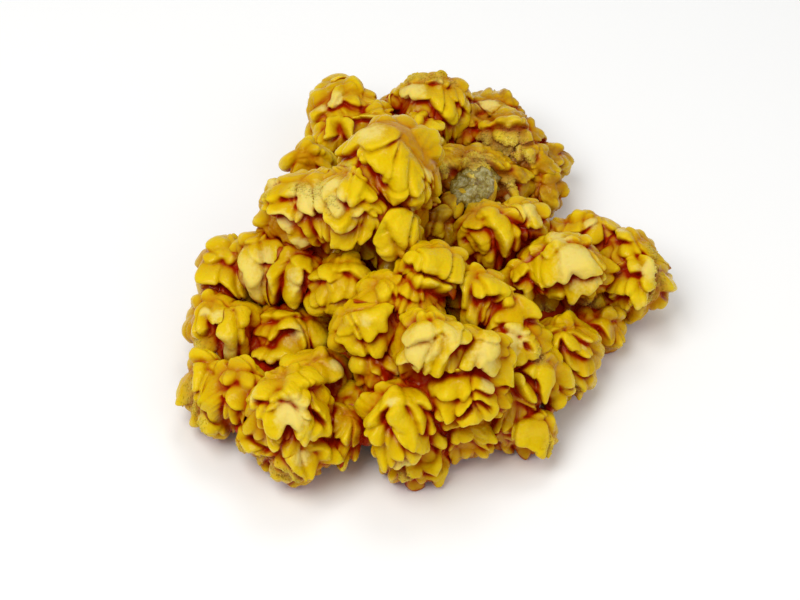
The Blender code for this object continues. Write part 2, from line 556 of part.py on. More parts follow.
def back_folds(mass, seed, spacing):
    """Folds for the side that the eye doesn't see: short, bent crests strewn evenly over a mass."""
    draw = random.Random(seed)
    count = int(4 * math.pi * (mass.half_sizes.prod() ** (2 / 3)) / spacing**2)
    golden = math.pi * (3 - math.sqrt(5))
    for i in range(count):
        level = 1 - 2 * (i + 0.5) / count
        around = i * golden
        ring = math.sqrt(1 - level * level)
        place = np.array([ring * math.cos(around), ring * math.sin(around), level])
        outward = mass.normal(mass.centre + place * mass.half_sizes)
        turn, bend = draw.uniform(0, 2 * math.pi), draw.uniform(-0.7, 0.7)
        reach, width = draw.uniform(1.8, 3.4), draw.uniform(1.7, 2.7)
        if outward @ SIGHT < -0.05 or outward[2] < -0.75:
            continue
        east = np.cross([0.0, 0.0, 1.0], place)
        east /= max(np.linalg.norm(east), 1e-9)
        north = np.cross(place, east)
        crest = []
        for t in np.linspace(-1, 1, 9):
            way = turn + bend * t
            spot = place * mass.half_sizes + reach * t * (math.cos(way) * east + math.sin(way) * north)
            crest.append(mass.centre + spot / np.linalg.norm(spot / mass.half_sizes))
        shares = np.sqrt(1 - np.linspace(-0.97, 0.97, 9) ** 2)
        yield np.array(crest), np.full(9, width), shares, draw.uniform(-0.6, 0.8)


def core_mesh(mass, sides):
    """The solid flesh under a mass's folds."""
    points, stations = [], sides
    for level in np.linspace(-0.98, 0.98, stations):
        ring = math.sqrt(1 - level * level)
        for angle in 2 * math.pi * np.arange(sides) / sides:
            place = np.array([ring * math.cos(angle), ring * math.sin(angle), level])
            points.append(mass.centre + CORE_SHARE * place * mass.half_sizes)
    return points, tube_faces(stations, sides)


def neck_mesh(mass, sides):
    """The stem of flesh from a mass to its root on the foot."""
    points = []
    top = 0.6 * mass.half_sizes.min()
    for t in np.linspace(0, 1, 6):
        middle = mass.centre + t * (mass.root - mass.centre)
        radius = top + t * (NECK_RADIUS - top)
        for angle in 2 * math.pi * np.arange(sides) / sides:
            points.append(middle + radius * np.array([math.cos(angle), math.sin(angle), 0.0]))
    return points, tube_faces(6, sides)[::-1]


def lobe_shapes(name, step, sides, spacing=5.0):
    """Every closed shape that a lobe is grown together from."""
    lobe = Lobe(LOBES[name])
    draw = random.Random(name)
    for mass in lobe.masses:
        yield core_mesh(mass, 20)
        yield neck_mesh(mass, 14)
    for _, lift, *crest in FOLDS[name]:
        lean = -LEAN * UP + draw.uniform(-LEAN, LEAN) * RIGHT
        yield fold_mesh(lobe, lift, crest, lean, step, sides)
    for i, mass in enumerate(lobe.masses):
        for centres, widths, shares, lift in back_folds(mass, name + str(i), spacing):
            yield ridge_mesh([mass] * len(centres), centres, widths, shares, lift, 0.0 * UP, sides)


def grown(point):
    """Where a point of a regular shape ends up in the grown one: it wanders a little and never sinks below
    the clearance above the ground."""
    point = Vector(point)
    point = point + WANDER * noise.noise_vector(point / WANDER_LENGTH)
    point.z = max(point.z, CLEARANCE)
    return point


def joined_mesh(name, shapes):
    """One mesh, in metres, that holds all the shapes with their faces outwards."""
    built = bmesh.new()
    for points, faces in shapes:
        corners = [built.verts.new(grown(point) * METRES) for point in points]
        for face in faces:
            built.faces.new([corners[i] for i in face])
    bmesh.ops.recalc_face_normals(built, faces=built.faces)
    mesh = bpy.data.meshes.new(name)
    built.to_mesh(mesh)
    built.free()
    return mesh


def settled(obj):
    """Turn the object's modifiers into its mesh."""
    bpy.context.view_layer.update()
    graph = bpy.context.evaluated_depsgraph_get()
    mesh = bpy.data.meshes.new_from_object(obj.evaluated_get(graph))
    obj.modifiers.clear()
    obj.data = mesh


def linked(name, mesh):
    obj = bpy.data.objects.new(name, mesh)
    bpy.context.scene.collection.objects.link(obj)
    return obj


def keep_largest_part(mesh):
    """Split the faces into triangles and drop every loose part but the one with the most volume."""
    built = bmesh.new()
    built.from_mesh(mesh)
    bmesh.ops.triangulate(built, faces=built.faces)
    left, parts = set(built.verts), []
    while left:
        stack = [left.pop()]
        part = set(stack)
        while stack:
            for edge in stack.pop().link_edges:
                for vert in edge.verts:
                    if vert in left:
                        left.discard(vert)
                        part.add(vert)
                        stack.append(vert)
        parts.append(part)
    volumes = []
    for part in parts:
        faces = {face for vert in part for face in vert.link_faces}
        corners = [[loop.vert.co for loop in face.loops] for face in faces]
        volumes.append(sum(a.dot(b.cross(c)) for a, b, c in corners) / 6)
    largest = parts[volumes.index(max(volumes))]
    bmesh.ops.delete(built, geom=[vert for vert in built.verts if vert not in largest], context="VERTS")
    built.to_mesh(mesh)
    built.free()


def grow_together(obj, grain, softenings):
    """Give the object one skin around everything in it."""
    remesh = obj.modifiers.new("grow together", "REMESH")
    remesh.mode = "VOXEL"
    remesh.voxel_size = grain * METRES
    soften = obj.modifiers.new("soften", "SMOOTH")
    soften.factor = 0.5
    soften.iterations = softenings
    settled(obj)
    keep_largest_part(obj.data)


def thin_out(obj, faces_per_area):
    """Leave the object that many flat faces for each square millimetre of its skin."""
    area = sum(face.area for face in obj.data.polygons) / METRES**2
    thin = obj.modifiers.new("thin out", "DECIMATE")
    thin.ratio = faces_per_area * area / len(obj.data.polygons)
    thin.use_collapse_triangulate = True
    settled(obj)


def foot_object():
    """The foot: rings of a wavy mound, with the flat cut as its underside."""
    built = bmesh.new()
    rings = []
    for height, radius in zip(FOOT_HEIGHTS, FOOT_RADII):
        ring = []
        for i in range(FOOT_SIDES):
            angle = 2 * math.pi * i / FOOT_SIDES
            wave = 1 + sum(size * math.sin(count * angle + start) for count, size, start in FOOT_WAVES)
            place = Vector((math.cos(angle) * radius * wave, math.sin(angle) * radius * wave, height))
            ring.append(built.verts.new(place * METRES))
        rings.append(ring)
    for lower, upper in zip(rings, rings[1:]):
        for i in range(FOOT_SIDES):
            k = (i + 1) % FOOT_SIDES
            built.faces.new((lower[i], lower[k], upper[k], upper[i]))
    built.faces.new(rings[-1])
    built.faces.new(list(reversed(rings[0])))
    mesh = bpy.data.meshes.new("foot")
    built.to_mesh(mesh)
    built.free()
    return linked("foot", mesh)


def grown_by(mesh, distance):
    """The mesh's corners moved out by a distance in mm."""
    return [vert.co + vert.normal * distance * METRES for vert in mesh.vertices]


def cutter_around(obj):
    """A cutter: the solid grown outwards by the gap and by what thinning out may move a face."""
    mesh = obj.data.copy()
    for vert, place in zip(mesh.vertices, grown_by(obj.data, GAP + PLAY)):
        vert.co = place
    cutter = linked("cutter." + obj.name, mesh)
    grow_together(cutter, FINE_GRAIN, 0)
    thin_out(cutter, CUTTER_FACES_PER_AREA)
    cutter.display_type = "WIRE"
    cutter.hide_render = True
    return cutter


def draw_back(obj, neighbours):
    """Move the object's corners inwards wherever a face still comes within the gap of a finished neighbour."""
    skins = []
    for other in neighbours:
        corners = grown_by(other.data, GAP)
        skins.append(BVHTree.FromPolygons(corners, [face.vertices for face in other.data.polygons]))
    for _ in range(DRAW_BACK_STEPS):
        corners = [vert.co.copy() for vert in obj.data.vertices]
        own = BVHTree.FromPolygons(corners, [face.vertices for face in obj.data.polygons])
        touching = {pair[0] for skin in skins for pair in own.overlap(skin)}
        moved = {i for face in touching for i in obj.data.polygons[face].vertices}
        for i, place in enumerate(grown_by(obj.data, -DRAW_BACK)):
            if i in moved:
                corners[i] = place
        obj.data.vertices.foreach_set("co", [value for corner in corners for value in corner])
        obj.data.update()
        if not moved:
            break


def boxes_meet(one, other):
    a = np.array([vert.co for vert in one.data.vertices])
    b = np.array([vert.co for vert in other.data.vertices])
    return bool(np.all(a.min(0) < b.max(0)) and np.all(b.min(0) < a.max(0)))


def lobe_object(name, cutters):
    """A lobe's flesh and folds as one solid with a modest number of flat faces, clear of every cutter."""
    obj = linked(name, joined_mesh(name, lobe_shapes(name, 8.0, 12)))
    grow_together(obj, GRAIN, 1)
    for cutter in cutters:
        if boxes_meet(obj, cutter):
            cut = obj.modifiers.new("clear of " + cutter.name, "BOOLEAN")
            cut.operation = "DIFFERENCE"
            cut.solver = "EXACT"
            cut.object = cutter
            settled(obj)
    grow_together(obj, FINE_GRAIN, 0)
    thin_out(obj, FACES_PER_AREA)
    return obj


def flesh(name, colour, roughness):
    material = bpy.data.materials.new(name)
    material.use_nodes = True
    shader = material.node_tree.nodes["Principled BSDF"]
    shader.inputs["Base Color"].default_value = (*colour, 1.0)
    shader.inputs["Roughness"].default_value = roughness
    return material


def build():
    foot = foot_object()
    foot.data.materials.append(flesh("foot_flesh", (0.25, 0.05, 0.01), 0.6))
    cutters = [cutter_around(foot)]
    finished = [foot]
    for name in ORDER:
        lobe = lobe_object(name, cutters)
        draw_back(lobe, finished)
        lobe.data.materials.clear()
        lobe.data.materials.append(flesh(name + "_flesh", (0.72, 0.43, 0.02), 0.4))
        cutters.append(cutter_around(lobe))
        finished.append(lobe)
    for cutter in cutters:
        bpy.data.objects.remove(cutter)


for leftover in list(bpy.data.objects):
    bpy.data.objects.remove(leftover)
noise.seed_set(WANDER_SEED)
build()
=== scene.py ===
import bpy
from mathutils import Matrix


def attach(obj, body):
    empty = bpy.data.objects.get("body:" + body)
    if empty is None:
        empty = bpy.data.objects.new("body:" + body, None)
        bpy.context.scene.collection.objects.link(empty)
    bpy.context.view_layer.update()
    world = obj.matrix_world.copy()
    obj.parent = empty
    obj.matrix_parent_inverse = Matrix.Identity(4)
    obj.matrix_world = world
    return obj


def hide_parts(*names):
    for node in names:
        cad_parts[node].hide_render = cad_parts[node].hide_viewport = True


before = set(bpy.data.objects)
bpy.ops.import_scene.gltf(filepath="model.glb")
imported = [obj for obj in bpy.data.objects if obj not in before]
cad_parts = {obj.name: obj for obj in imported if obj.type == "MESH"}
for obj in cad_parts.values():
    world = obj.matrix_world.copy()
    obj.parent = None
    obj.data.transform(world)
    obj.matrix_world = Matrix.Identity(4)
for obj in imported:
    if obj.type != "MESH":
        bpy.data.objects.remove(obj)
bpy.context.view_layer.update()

import math
import random

import bmesh
import bpy
import numpy as np
from mathutils import Matrix, Vector, noise

# Where it is seen from
# The fungus lies on the ground and is looked down on from 0.6 m away. Its folds are drawn as this eye sees
# them, in picture coordinates (x, y) of an 800 by 600 frame. Sizes are in millimetres, and meshes in metres.
METRES = 0.001
FRAME_MIDDLE = (400.0, 300.0)
UNIT = 0.2466
EYE_DISTANCE = 600.0
EYE_ELEVATION = math.radians(46.0)
AIM = np.array([-5.9, 0.0, 0.0])
SENSOR = 36.0
SIGHT = np.array([0.0, math.cos(EYE_ELEVATION), -math.sin(EYE_ELEVATION)])
RIGHT = np.array([1.0, 0.0, 0.0])
UP = np.cross(RIGHT, SIGHT)
EYE = AIM - EYE_DISTANCE * SIGHT


def sight_line(x, y):
    """The direction in which the eye sees picture point (x, y)."""
    across = (x - FRAME_MIDDLE[0]) * UNIT
    above = (FRAME_MIDDLE[1] - y) * UNIT
    direction = AIM + across * RIGHT + above * UP - EYE
    return direction / np.linalg.norm(direction)


def seen_at(x, y, height):
    """The point at that height which the eye sees at picture point (x, y)."""
    direction = sight_line(x, y)
    return EYE + direction * (height - EYE[2]) / direction[2]


camera_data = bpy.data.cameras.new("camera")
camera_data.sensor_width = SENSOR
camera_data.lens = EYE_DISTANCE / (UNIT * 2 * FRAME_MIDDLE[0]) * SENSOR
camera = bpy.data.objects.new("camera", camera_data)
turned = Vector(SIGHT).to_track_quat("-Z", "Y").to_matrix().to_4x4()
camera.matrix_world = Matrix.Translation(Vector(EYE) * METRES) @ turned
bpy.context.scene.collection.objects.link(camera)
bpy.context.scene.camera = camera


# The foot
# The flesh at the base that every lobe grows from: firm red-brown jelly, cut off flat where the fungus was
# taken off its log. Little light reaches it. It is built up in rings, and its sides are left lumpy.
FOOT_HEIGHTS = (0.0, 1.0, 4.0, 8.0, 11.5, 14.0, 15.0)
FOOT_RADII = (34.0, 36.0, 38.5, 37.0, 31.0, 20.0, 6.0)
FOOT_WAVES = ((3, 0.05, 0.4), (5, 0.03, 1.9), (8, 0.02, 0.7))
FOOT_SIDES = 240
FOOT_RINGS = 90
FOOT_LUMP = 0.7
FOOT_LUMP_LENGTH = 5.0
WANDER_SEED = 5
noise.seed_set(WANDER_SEED)


class Shade:
    """One output of a shader node. Arithmetic on it adds Math nodes."""

    def __init__(self, finish, socket):
        self.finish = finish
        self.socket = socket

    def worked(self, operation, first, second):
        return self.finish.add("ShaderNodeMath", {"operation": operation}, {0: first, 1: second})

    def __add__(self, other):
        return self.worked("ADD", self, other)

    __radd__ = __add__

    def __sub__(self, other):
        return self.worked("SUBTRACT", self, other)

    def __rsub__(self, other):
        return self.worked("SUBTRACT", other, self)

    def __mul__(self, other):
        return self.worked("MULTIPLY", self, other)

    __rmul__ = __mul__


class Finish:
    """A material, built node by node around one Principled shader."""

    def __init__(self, name):
        self.material = bpy.data.materials.new(name)
        self.material.use_nodes = True
        self.nodes = self.material.node_tree.nodes
        self.links = self.material.node_tree.links
        self.shader = self.nodes["Principled BSDF"]
        self.place = self.add("ShaderNodeTexCoord", {}, {}, "Object")

    def join(self, value, socket):
        if isinstance(value, Shade):
            self.links.new(value.socket, socket)
        elif isinstance(value, tuple) and len(value) == 3 and socket.type == "RGBA":
            socket.default_value = (*value, 1.0)
        else:
            socket.default_value = value

    def add(self, kind, settings, inputs, output=0):
        """A new node with these settings and socket values or links, as the Shade of one of its outputs."""
        node = self.nodes.new(kind)
        for setting, value in settings.items():
            if setting == "stops":
                ramp = node.color_ramp.elements
                while len(ramp) < len(value):
                    ramp.new(0.5)
                for element, (position, colour) in zip(ramp, value):
                    element.position = position
                    element.color = (*colour, 1.0)
            else:
                setattr(node, setting, value)
        for socket, value in inputs.items():
            self.join(value, node.inputs[socket])
        return Shade(self, node.outputs[output])

    def attribute(self, name):
        return self.add("ShaderNodeAttribute", {"attribute_name": name}, {}, "Fac")

    def noise(self, length, detail=3.0, warp=0.0):
        """Soft noise from about 0.3 to 0.7 with lumps of that length in mm."""
        inputs = {"Vector": self.place, "Scale": 1 / (length * METRES), "Detail": detail, "Distortion": warp}
        return self.add("ShaderNodeTexNoise", {}, inputs, "Fac")

    def step(self, value, low, high):
        """0 below low, 1 above high, and smooth between."""
        inputs = {"Value": value, "From Min": low, "From Max": high}
        return self.add("ShaderNodeMapRange", {"interpolation_type": "SMOOTHSTEP"}, inputs, "Result")

    def ramp(self, value, stops):
        return self.add("ShaderNodeValToRGB", {"stops": stops}, {"Fac": value}, "Color")

    def mixed(self, share, first, second, blend="MIX"):
        settings = {"data_type": "RGBA", "blend_type": blend}
        return self.add("ShaderNodeMix", settings, {0: share, 6: first, 7: second}, 2)

    def bump(self, height, distance, strength, under=None):
        inputs = {"Height": height, "Distance": distance * METRES, "Strength": strength}
        if under:
            inputs["Normal"] = under
        return self.add("ShaderNodeBump", {}, inputs, "Normal")

    def set(self, **values):
        for name, value in values.items():
            self.join(value, self.shader.inputs[name.replace("_", " ")])


def foot_finish():
    """Firm, wet, red-brown flesh with darker blotches; its deep red is partly painted shade."""
    finish = Finish("foot_flesh_finish")
    blotches = finish.noise(4.0)
    # Painted shade: the foot's dark red is its own red-brown darkened to stand for the shade in the gaps
    # between lobes.
    colour = finish.ramp(blotches, ((0.3, (0.30, 0.008, 0.0001)), (0.7, (0.42, 0.035, 0.0001))))
    skin = finish.bump(finish.noise(0.8), 0.2, 0.5)
    finish.set(Base_Color=colour, Roughness=0.5 + 0.3 * blotches, Normal=skin, Specular_IOR_Level=0.08)
    return finish.material


def linked(name, mesh):
    piece = bpy.data.objects.new(name, mesh)
    bpy.context.scene.collection.objects.link(piece)
    return piece


def grow_foot():
    built = bmesh.new()
    rings = []
    for level in np.linspace(0.0, len(FOOT_HEIGHTS) - 1.0, FOOT_RINGS):
        height = float(np.interp(level, range(len(FOOT_HEIGHTS)), FOOT_HEIGHTS))
        radius = float(np.interp(height, FOOT_HEIGHTS, FOOT_RADII))
        ring = []
        for i in range(FOOT_SIDES):
            angle = 2 * math.pi * i / FOOT_SIDES
            wave = 1 + sum(size * math.sin(count * angle + start) for count, size, start in FOOT_WAVES)
            place = Vector((math.cos(angle) * radius * wave, math.sin(angle) * radius * wave, height))
            lump = FOOT_LUMP * min(1.0, float(level)) * noise.noise(place / FOOT_LUMP_LENGTH)
            place -= lump * Vector((math.cos(angle), math.sin(angle), 0.0)) * 0.5
            ring.append(built.verts.new(place * METRES))
        rings.append(ring)
    for lower, upper in zip(rings, rings[1:]):
        for i in range(FOOT_SIDES):
            k = (i + 1) % FOOT_SIDES
            built.faces.new((lower[i], lower[k], upper[k], upper[i]))
    built.faces.new(rings[-1])
    built.faces.new(list(reversed(rings[0])))
    mesh = bpy.data.meshes.new("foot")
    built.to_mesh(mesh)
    built.free()
    mesh.shade_smooth()
    mesh.materials.append(foot_finish())
    return linked("foot_of_flesh", mesh)


foot = grow_foot()
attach(foot, "root")
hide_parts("foot")


# The crown lobe
# The highest lobe: sheets of firm jelly curled over on themselves, with a ball below them. It grows from the
# foot on its own stems, and has dried pale on its rim, its rough plateau and the edges of its left sheets.
# The bare flesh: the masses inside the folds, their stems and the size of the skin's grain
CORE_SHARE = 0.95
UNDERCUT = 0.25
MASS_SIDES = 24
NECK_RADIUS = 8.0
NECK_SHARE = 0.6
NECK_STATIONS = 6
CLEARANCE = 0.3
GRAIN = 0.36
SOFTENINGS = 30
# How far grown flesh wanders from what is drawn, and over what length
BEND = 0.9
BEND_LENGTH = 6.0
WAVER = 0.75
WAVER_LENGTH = 2.8
WARP = 1.6
WARP_LENGTH = 9.0
WARP_FULL_HEIGHT = 10
# A fold: a gentle slope on its upper side, and a steep hem that hangs over the crease on its lower side
CREST_STEP = 3.0
FOLD_RISE = 0.9
PAD_WIDTH = 2.6
HEM_SHIFT = 0.45
HEM_TURN = 0.9
SLOPE_REACH = 1.55
SLOPE_ROUND = 1.35
HEM_REACH = 0.6
HEM_ROUND = 2.2
FLOOR = -1.1
SAG = 0.4
FOLD_TOP = 3.2
# The scallops along a hem, with the flutes that run up from them
RUFFLE_LENGTH = 5.5
RUFFLE_EDGE = 0.4
RUFFLE_RISE = 0.9
RUFFLE_DRIFT = 0.6
RUFFLE_DRIFT_RATE = 0.7
SCALLOP_MEAN = 0.6
# Folds on the side that the eye does not see
UNSEEN_SPACING = 4.5
UNSEEN_POINTS = 9
UNSEEN_SPREAD = 0.5
UNSEEN_BEND = 0.8
UNSEEN_REACHES = (2.5, 4.5)
UNSEEN_WIDTHS = (1.5, 2.6)
UNSEEN_LIFTS = (-0.5, 0.6)
# Small relief: lumps, narrow pleats, and knobs on the old lobes
LUMP = 0.28
LUMP_LENGTH = 3.2
LUMP_MEAN = 0.45
PLEAT_DEPTH = 0.8
PLEAT_LENGTH = 6.5
PLEAT_SPREAD = 0.12
PLEAT_STRETCH = 0.6
PLEAT_FADE = 1.5
KNOB_RISE = 1.5
KNOB_LENGTH = 3.0
KNOB_TOP = 0.7
KNOB_FALL = 2
KNOB_LOWEST = -0.2
SHARPEN = 0.35
SHARPEN_LENGTH = 0.8
# What the finish goes by: rims, patches, and how much light reaches a spot, which it paints as shade
NORMAL_LENGTH = 0.8
RIM_LENGTH = 1.6
PATCH_EDGE = 1.5
RAYS = 14
RAY_START = 0.12
CREASE_REACH = 3.5
GAP_REACH = 14.0
# Beads of dried jelly
BEAD_SIZE = 0.42
BEADS_PER_AREA = 3.0
BEAD_SMALLEST = (0.35, 0.35, 0.25)
BEAD_LARGEST = (1.15, 1.0, 0.8)
BEAD_SEED = 7


class Mass:
    """One ellipsoid of a lobe, and the root that its stem runs down to."""

    def __init__(self, middle, height, half_sizes):
        self.centre = seen_at(*middle, height)
        self.half_sizes = np.array(half_sizes)
        self.root = np.array([0.45 * self.centre[0], 0.45 * self.centre[1], 6.0])

    def normal(self, point):
        outward = (point - self.centre) / self.half_sizes**2
        return outward / np.linalg.norm(outward)

    def meets(self, start, direction):
        """How far along the line it meets the ellipsoid, or passes it closest, and how far off it then is."""
        start, along = (start - self.centre) / self.half_sizes, direction / self.half_sizes
        closest = -(start @ along) / (along @ along)
        miss = np.linalg.norm(start + closest * along)
        return closest - math.sqrt(max(0.0, 1.0 - miss * miss) / (along @ along)), max(0.0, miss - 1.0)


def crest_point(masses, x, y):
    """The point where the line of sight first meets the masses, or passes them closest, and its mass."""
    direction = sight_line(x, y)
    found = [(*mass.meets(EYE, direction)[::-1], i) for i, mass in enumerate(masses)]
    _, distance, i = min(found)
    return EYE + distance * direction, masses[i]


def smooth_line(points, step):
    """Catmull-Rom points through the given ones, about one step apart in the first two coordinates."""
    points = np.array(points, float)
    ends = np.vstack([2 * points[0] - points[1], points, 2 * points[-1] - points[-2]])
    line = []
    for before, start, end, after in zip(ends, ends[1:], ends[2:], ends[3:]):
        count = max(2, math.ceil(np.linalg.norm((end - start)[:2]) / step))
        for t in np.arange(count) / count:
            bend = 2 * before - 5 * start + 4 * end - after
            turn = 3 * start - before - 3 * end + after
            line.append(0.5 * (2 * start + (end - before) * t + bend * t * t + turn * t**3))
    return np.array([*line, points[-1]])


def tube_faces(stations, sides):
    """The quads of a tube of that many stations, with its two end caps."""
    faces = []
    for i in range(stations - 1):
        for j in range(sides):
            k = (j + 1) % sides
            faces.append((i * sides + j, i * sides + k, (i + 1) * sides + k, (i + 1) * sides + j))
    faces.append(tuple(reversed(range(sides))))
    faces.append(tuple(range((stations - 1) * sides, stations * sides)))
    return faces


class Fold:
    """A fold's crest as points in space, with its half widths, its lift and the way its free edge hangs."""

    def __init__(self, points, widths, lift, down, start):
        self.widths = np.array(widths)
        self.points = np.array(points) + HEM_SHIFT * self.widths[:, None] * down
        self.lift = lift
        self.down = down
        self.start = start

    def heights(self, places):
        """How high the fold stands at each place, in mm off the lobe's bare flesh."""
        starts, ways = self.points[:-1], np.diff(self.points, axis=0)
        lengths = np.maximum(np.linalg.norm(ways, axis=1), 1e-6)
        apart = places[:, None, :] - starts[None, :, :]
        shares = np.clip((apart * ways).sum(axis=2) / lengths**2, 0.0, 1.0)
        apart -= shares[:, :, None] * ways
        distances = np.linalg.norm(apart, axis=2)
        nearest = distances.argmin(axis=1)
        rows = np.arange(len(places))
        distance, share = distances[rows, nearest], shares[rows, nearest]
        width = self.widths[nearest] * (1 - share) + self.widths[nearest + 1] * share
        along = np.concatenate([[0.0], np.cumsum(lengths)])[nearest] + share * lengths[nearest]
        below = (apart[rows, nearest] @ self.down) / np.maximum(distance, 1e-6)
        hem = np.clip(0.5 + HEM_TURN * below, 0.0, 1.0)
        turns = math.pi * along / RUFFLE_LENGTH + self.start
        turns += RUFFLE_DRIFT * np.sin(RUFFLE_DRIFT_RATE * turns + self.start)
        scallop = np.abs(np.sin(turns)) - SCALLOP_MEAN
        reach = width * (SLOPE_REACH + (HEM_REACH - SLOPE_REACH) * hem)
        reach = reach * (1 + RUFFLE_EDGE * scallop * hem)
        fall = (distance / reach) ** (SLOPE_ROUND + (HEM_ROUND - SLOPE_ROUND) * hem)
        flute = RUFFLE_RISE * scallop * np.minimum(1.0, width / PAD_WIDTH)
        flute = flute * np.exp(-((distance / width) ** 2))
        return self.lift + FOLD_RISE * np.minimum(width, PAD_WIDTH) * (1 - fall) + flute


def drawn_fold(masses, lift, crest):
    """A fold that the eye sees, drawn along its crest in picture coordinates."""
    line = smooth_line(crest, CREST_STEP)
    points = [crest_point(masses, x, y)[0] for x, y, _ in line]
    return Fold(points, line[:, 2] * UNIT, lift, -UP, crest[0][0])


def unseen_folds(mass, seed):
    """Folds for the side that the eye doesn't see: bent pleats that run down over a mass, strewn evenly."""
    draw = random.Random(seed)
    count = int(4 * math.pi * (mass.half_sizes.prod() ** (2 / 3)) / UNSEEN_SPACING**2)
    golden = math.pi * (3 - math.sqrt(5))
    for i in range(count):
        level = 1 - 2 * (i + 0.5) / count
        ring = math.sqrt(1 - level * level)
        place = np.array([ring * math.cos(i * golden), ring * math.sin(i * golden), level])
        outward = mass.normal(mass.centre + place * mass.half_sizes)
        turn = draw.gauss(math.pi / 2, UNSEEN_SPREAD)
        bend = draw.uniform(-UNSEEN_BEND, UNSEEN_BEND)
        reach = draw.uniform(*UNSEEN_REACHES)
        width = draw.uniform(*UNSEEN_WIDTHS)
        lift = draw.uniform(*UNSEEN_LIFTS)
        if outward @ SIGHT < 0.0 or outward[2] < -0.8:
            continue
        east = np.cross([0.0, 0.0, 1.0], place)
        east /= max(np.linalg.norm(east), 1e-9)
        north = np.cross(place, east)
        points = []
        for t in np.linspace(-1, 1, UNSEEN_POINTS):
            way = turn + bend * t
            spot = place * mass.half_sizes + reach * t * (math.cos(way) * east + math.sin(way) * north)
            points.append(mass.centre + spot / np.linalg.norm(spot / mass.half_sizes))
        down = np.array([0.6 * outward[0], 0.6 * outward[1], -1.0])
        down /= np.linalg.norm(down)
        yield Fold(points, np.full(UNSEEN_POINTS, width), lift, down, turn)


def core_mesh(mass):
    """The solid flesh under a mass's folds."""
    points = []
    for level in np.linspace(-0.98, 0.98, MASS_SIDES):
        ring = math.sqrt(1 - level * level)
        for angle in 2 * math.pi * np.arange(MASS_SIDES) / MASS_SIDES:
            share = CORE_SHARE * (1 - UNDERCUT * min(1.0, max(0.0, -2.5 * level - 0.3)))
            across, along = share * ring * math.cos(angle), share * ring * math.sin(angle)
            place = np.array([across, along, CORE_SHARE * level])
            points.append(mass.centre + place * mass.half_sizes)
    return points, tube_faces(MASS_SIDES, MASS_SIDES)


def neck_mesh(mass):
    """The stem of flesh from a mass to its root on the foot."""
    points = []
    top = NECK_SHARE * mass.half_sizes.min()
    for t in np.linspace(0, 1, NECK_STATIONS):
        middle = mass.centre + t * (mass.root - mass.centre)
        radius = top + t * (NECK_RADIUS - top)
        for angle in 2 * math.pi * np.arange(MASS_SIDES) / MASS_SIDES:
            points.append(middle + radius * np.array([math.cos(angle), math.sin(angle), 0.0]))
    return points, tube_faces(NECK_STATIONS, MASS_SIDES)[::-1]


def joined_mesh(name, shapes):
    """One mesh that holds all the shapes with their faces outwards."""
    built = bmesh.new()
    for points, faces in shapes:
        corners = []
        for point in points:
            corners.append(built.verts.new(Vector(point) * METRES))
        for face in faces:
            built.faces.new([corners[i] for i in face])
    bmesh.ops.recalc_face_normals(built, faces=built.faces)
    mesh = bpy.data.meshes.new(name)
    built.to_mesh(mesh)
    built.free()
    return mesh


def settle(piece):
    """Turn the piece's modifiers into its mesh."""
    bpy.context.view_layer.update()
    graph = bpy.context.evaluated_depsgraph_get()
    mesh = bpy.data.meshes.new_from_object(piece.evaluated_get(graph))
    piece.modifiers.clear()
    piece.data = mesh


def keep_largest_part(mesh):
    """Drop every loose part of the skin but the largest one."""
    built = bmesh.new()
    built.from_mesh(mesh)
    left, largest = set(built.verts), set()
    while left:
        stack = [left.pop()]
        part = set(stack)
        while stack:
            for edge in stack.pop().link_edges:
                for vert in edge.verts:
                    if vert in left:
                        left.discard(vert)
                        part.add(vert)
                        stack.append(vert)
        largest = max(largest, part, key=len)
    bmesh.ops.delete(built, geom=[vert for vert in built.verts if vert not in largest], context="VERTS")
    built.to_mesh(mesh)
    built.free()


def column(mesh, attribute, width):
    """A vertex attribute of the mesh as an array."""
    values = np.zeros(len(mesh.vertices) * width)
    mesh.vertices.foreach_get(attribute, values)
    return values.reshape(-1, width)


def links_of(mesh):
    ends = np.zeros(len(mesh.edges) * 2, np.int32)
    mesh.edges.foreach_get("vertices", ends)
    return ends.reshape(-1, 2)


def evened(values, links, length):
    """The vertices' values averaged with their neighbours' over about that length in mm."""
    first, second = links.T
    size = len(values)
    neighbours = np.bincount(links.ravel(), minlength=size)
    for _ in range(math.ceil((2 * length / GRAIN) ** 2)):
        for i in range(values.shape[1]):
            line = values[:, i]
            total = np.bincount(first, line[second], size) + np.bincount(second, line[first], size)
            values[:, i] = 0.5 * (line + total / neighbours)
    return values


def write_attribute(mesh, name, values):
    layer = mesh.attributes.new(name, "FLOAT", "POINT")
    layer.data.foreach_set("value", np.asarray(values, np.float32))


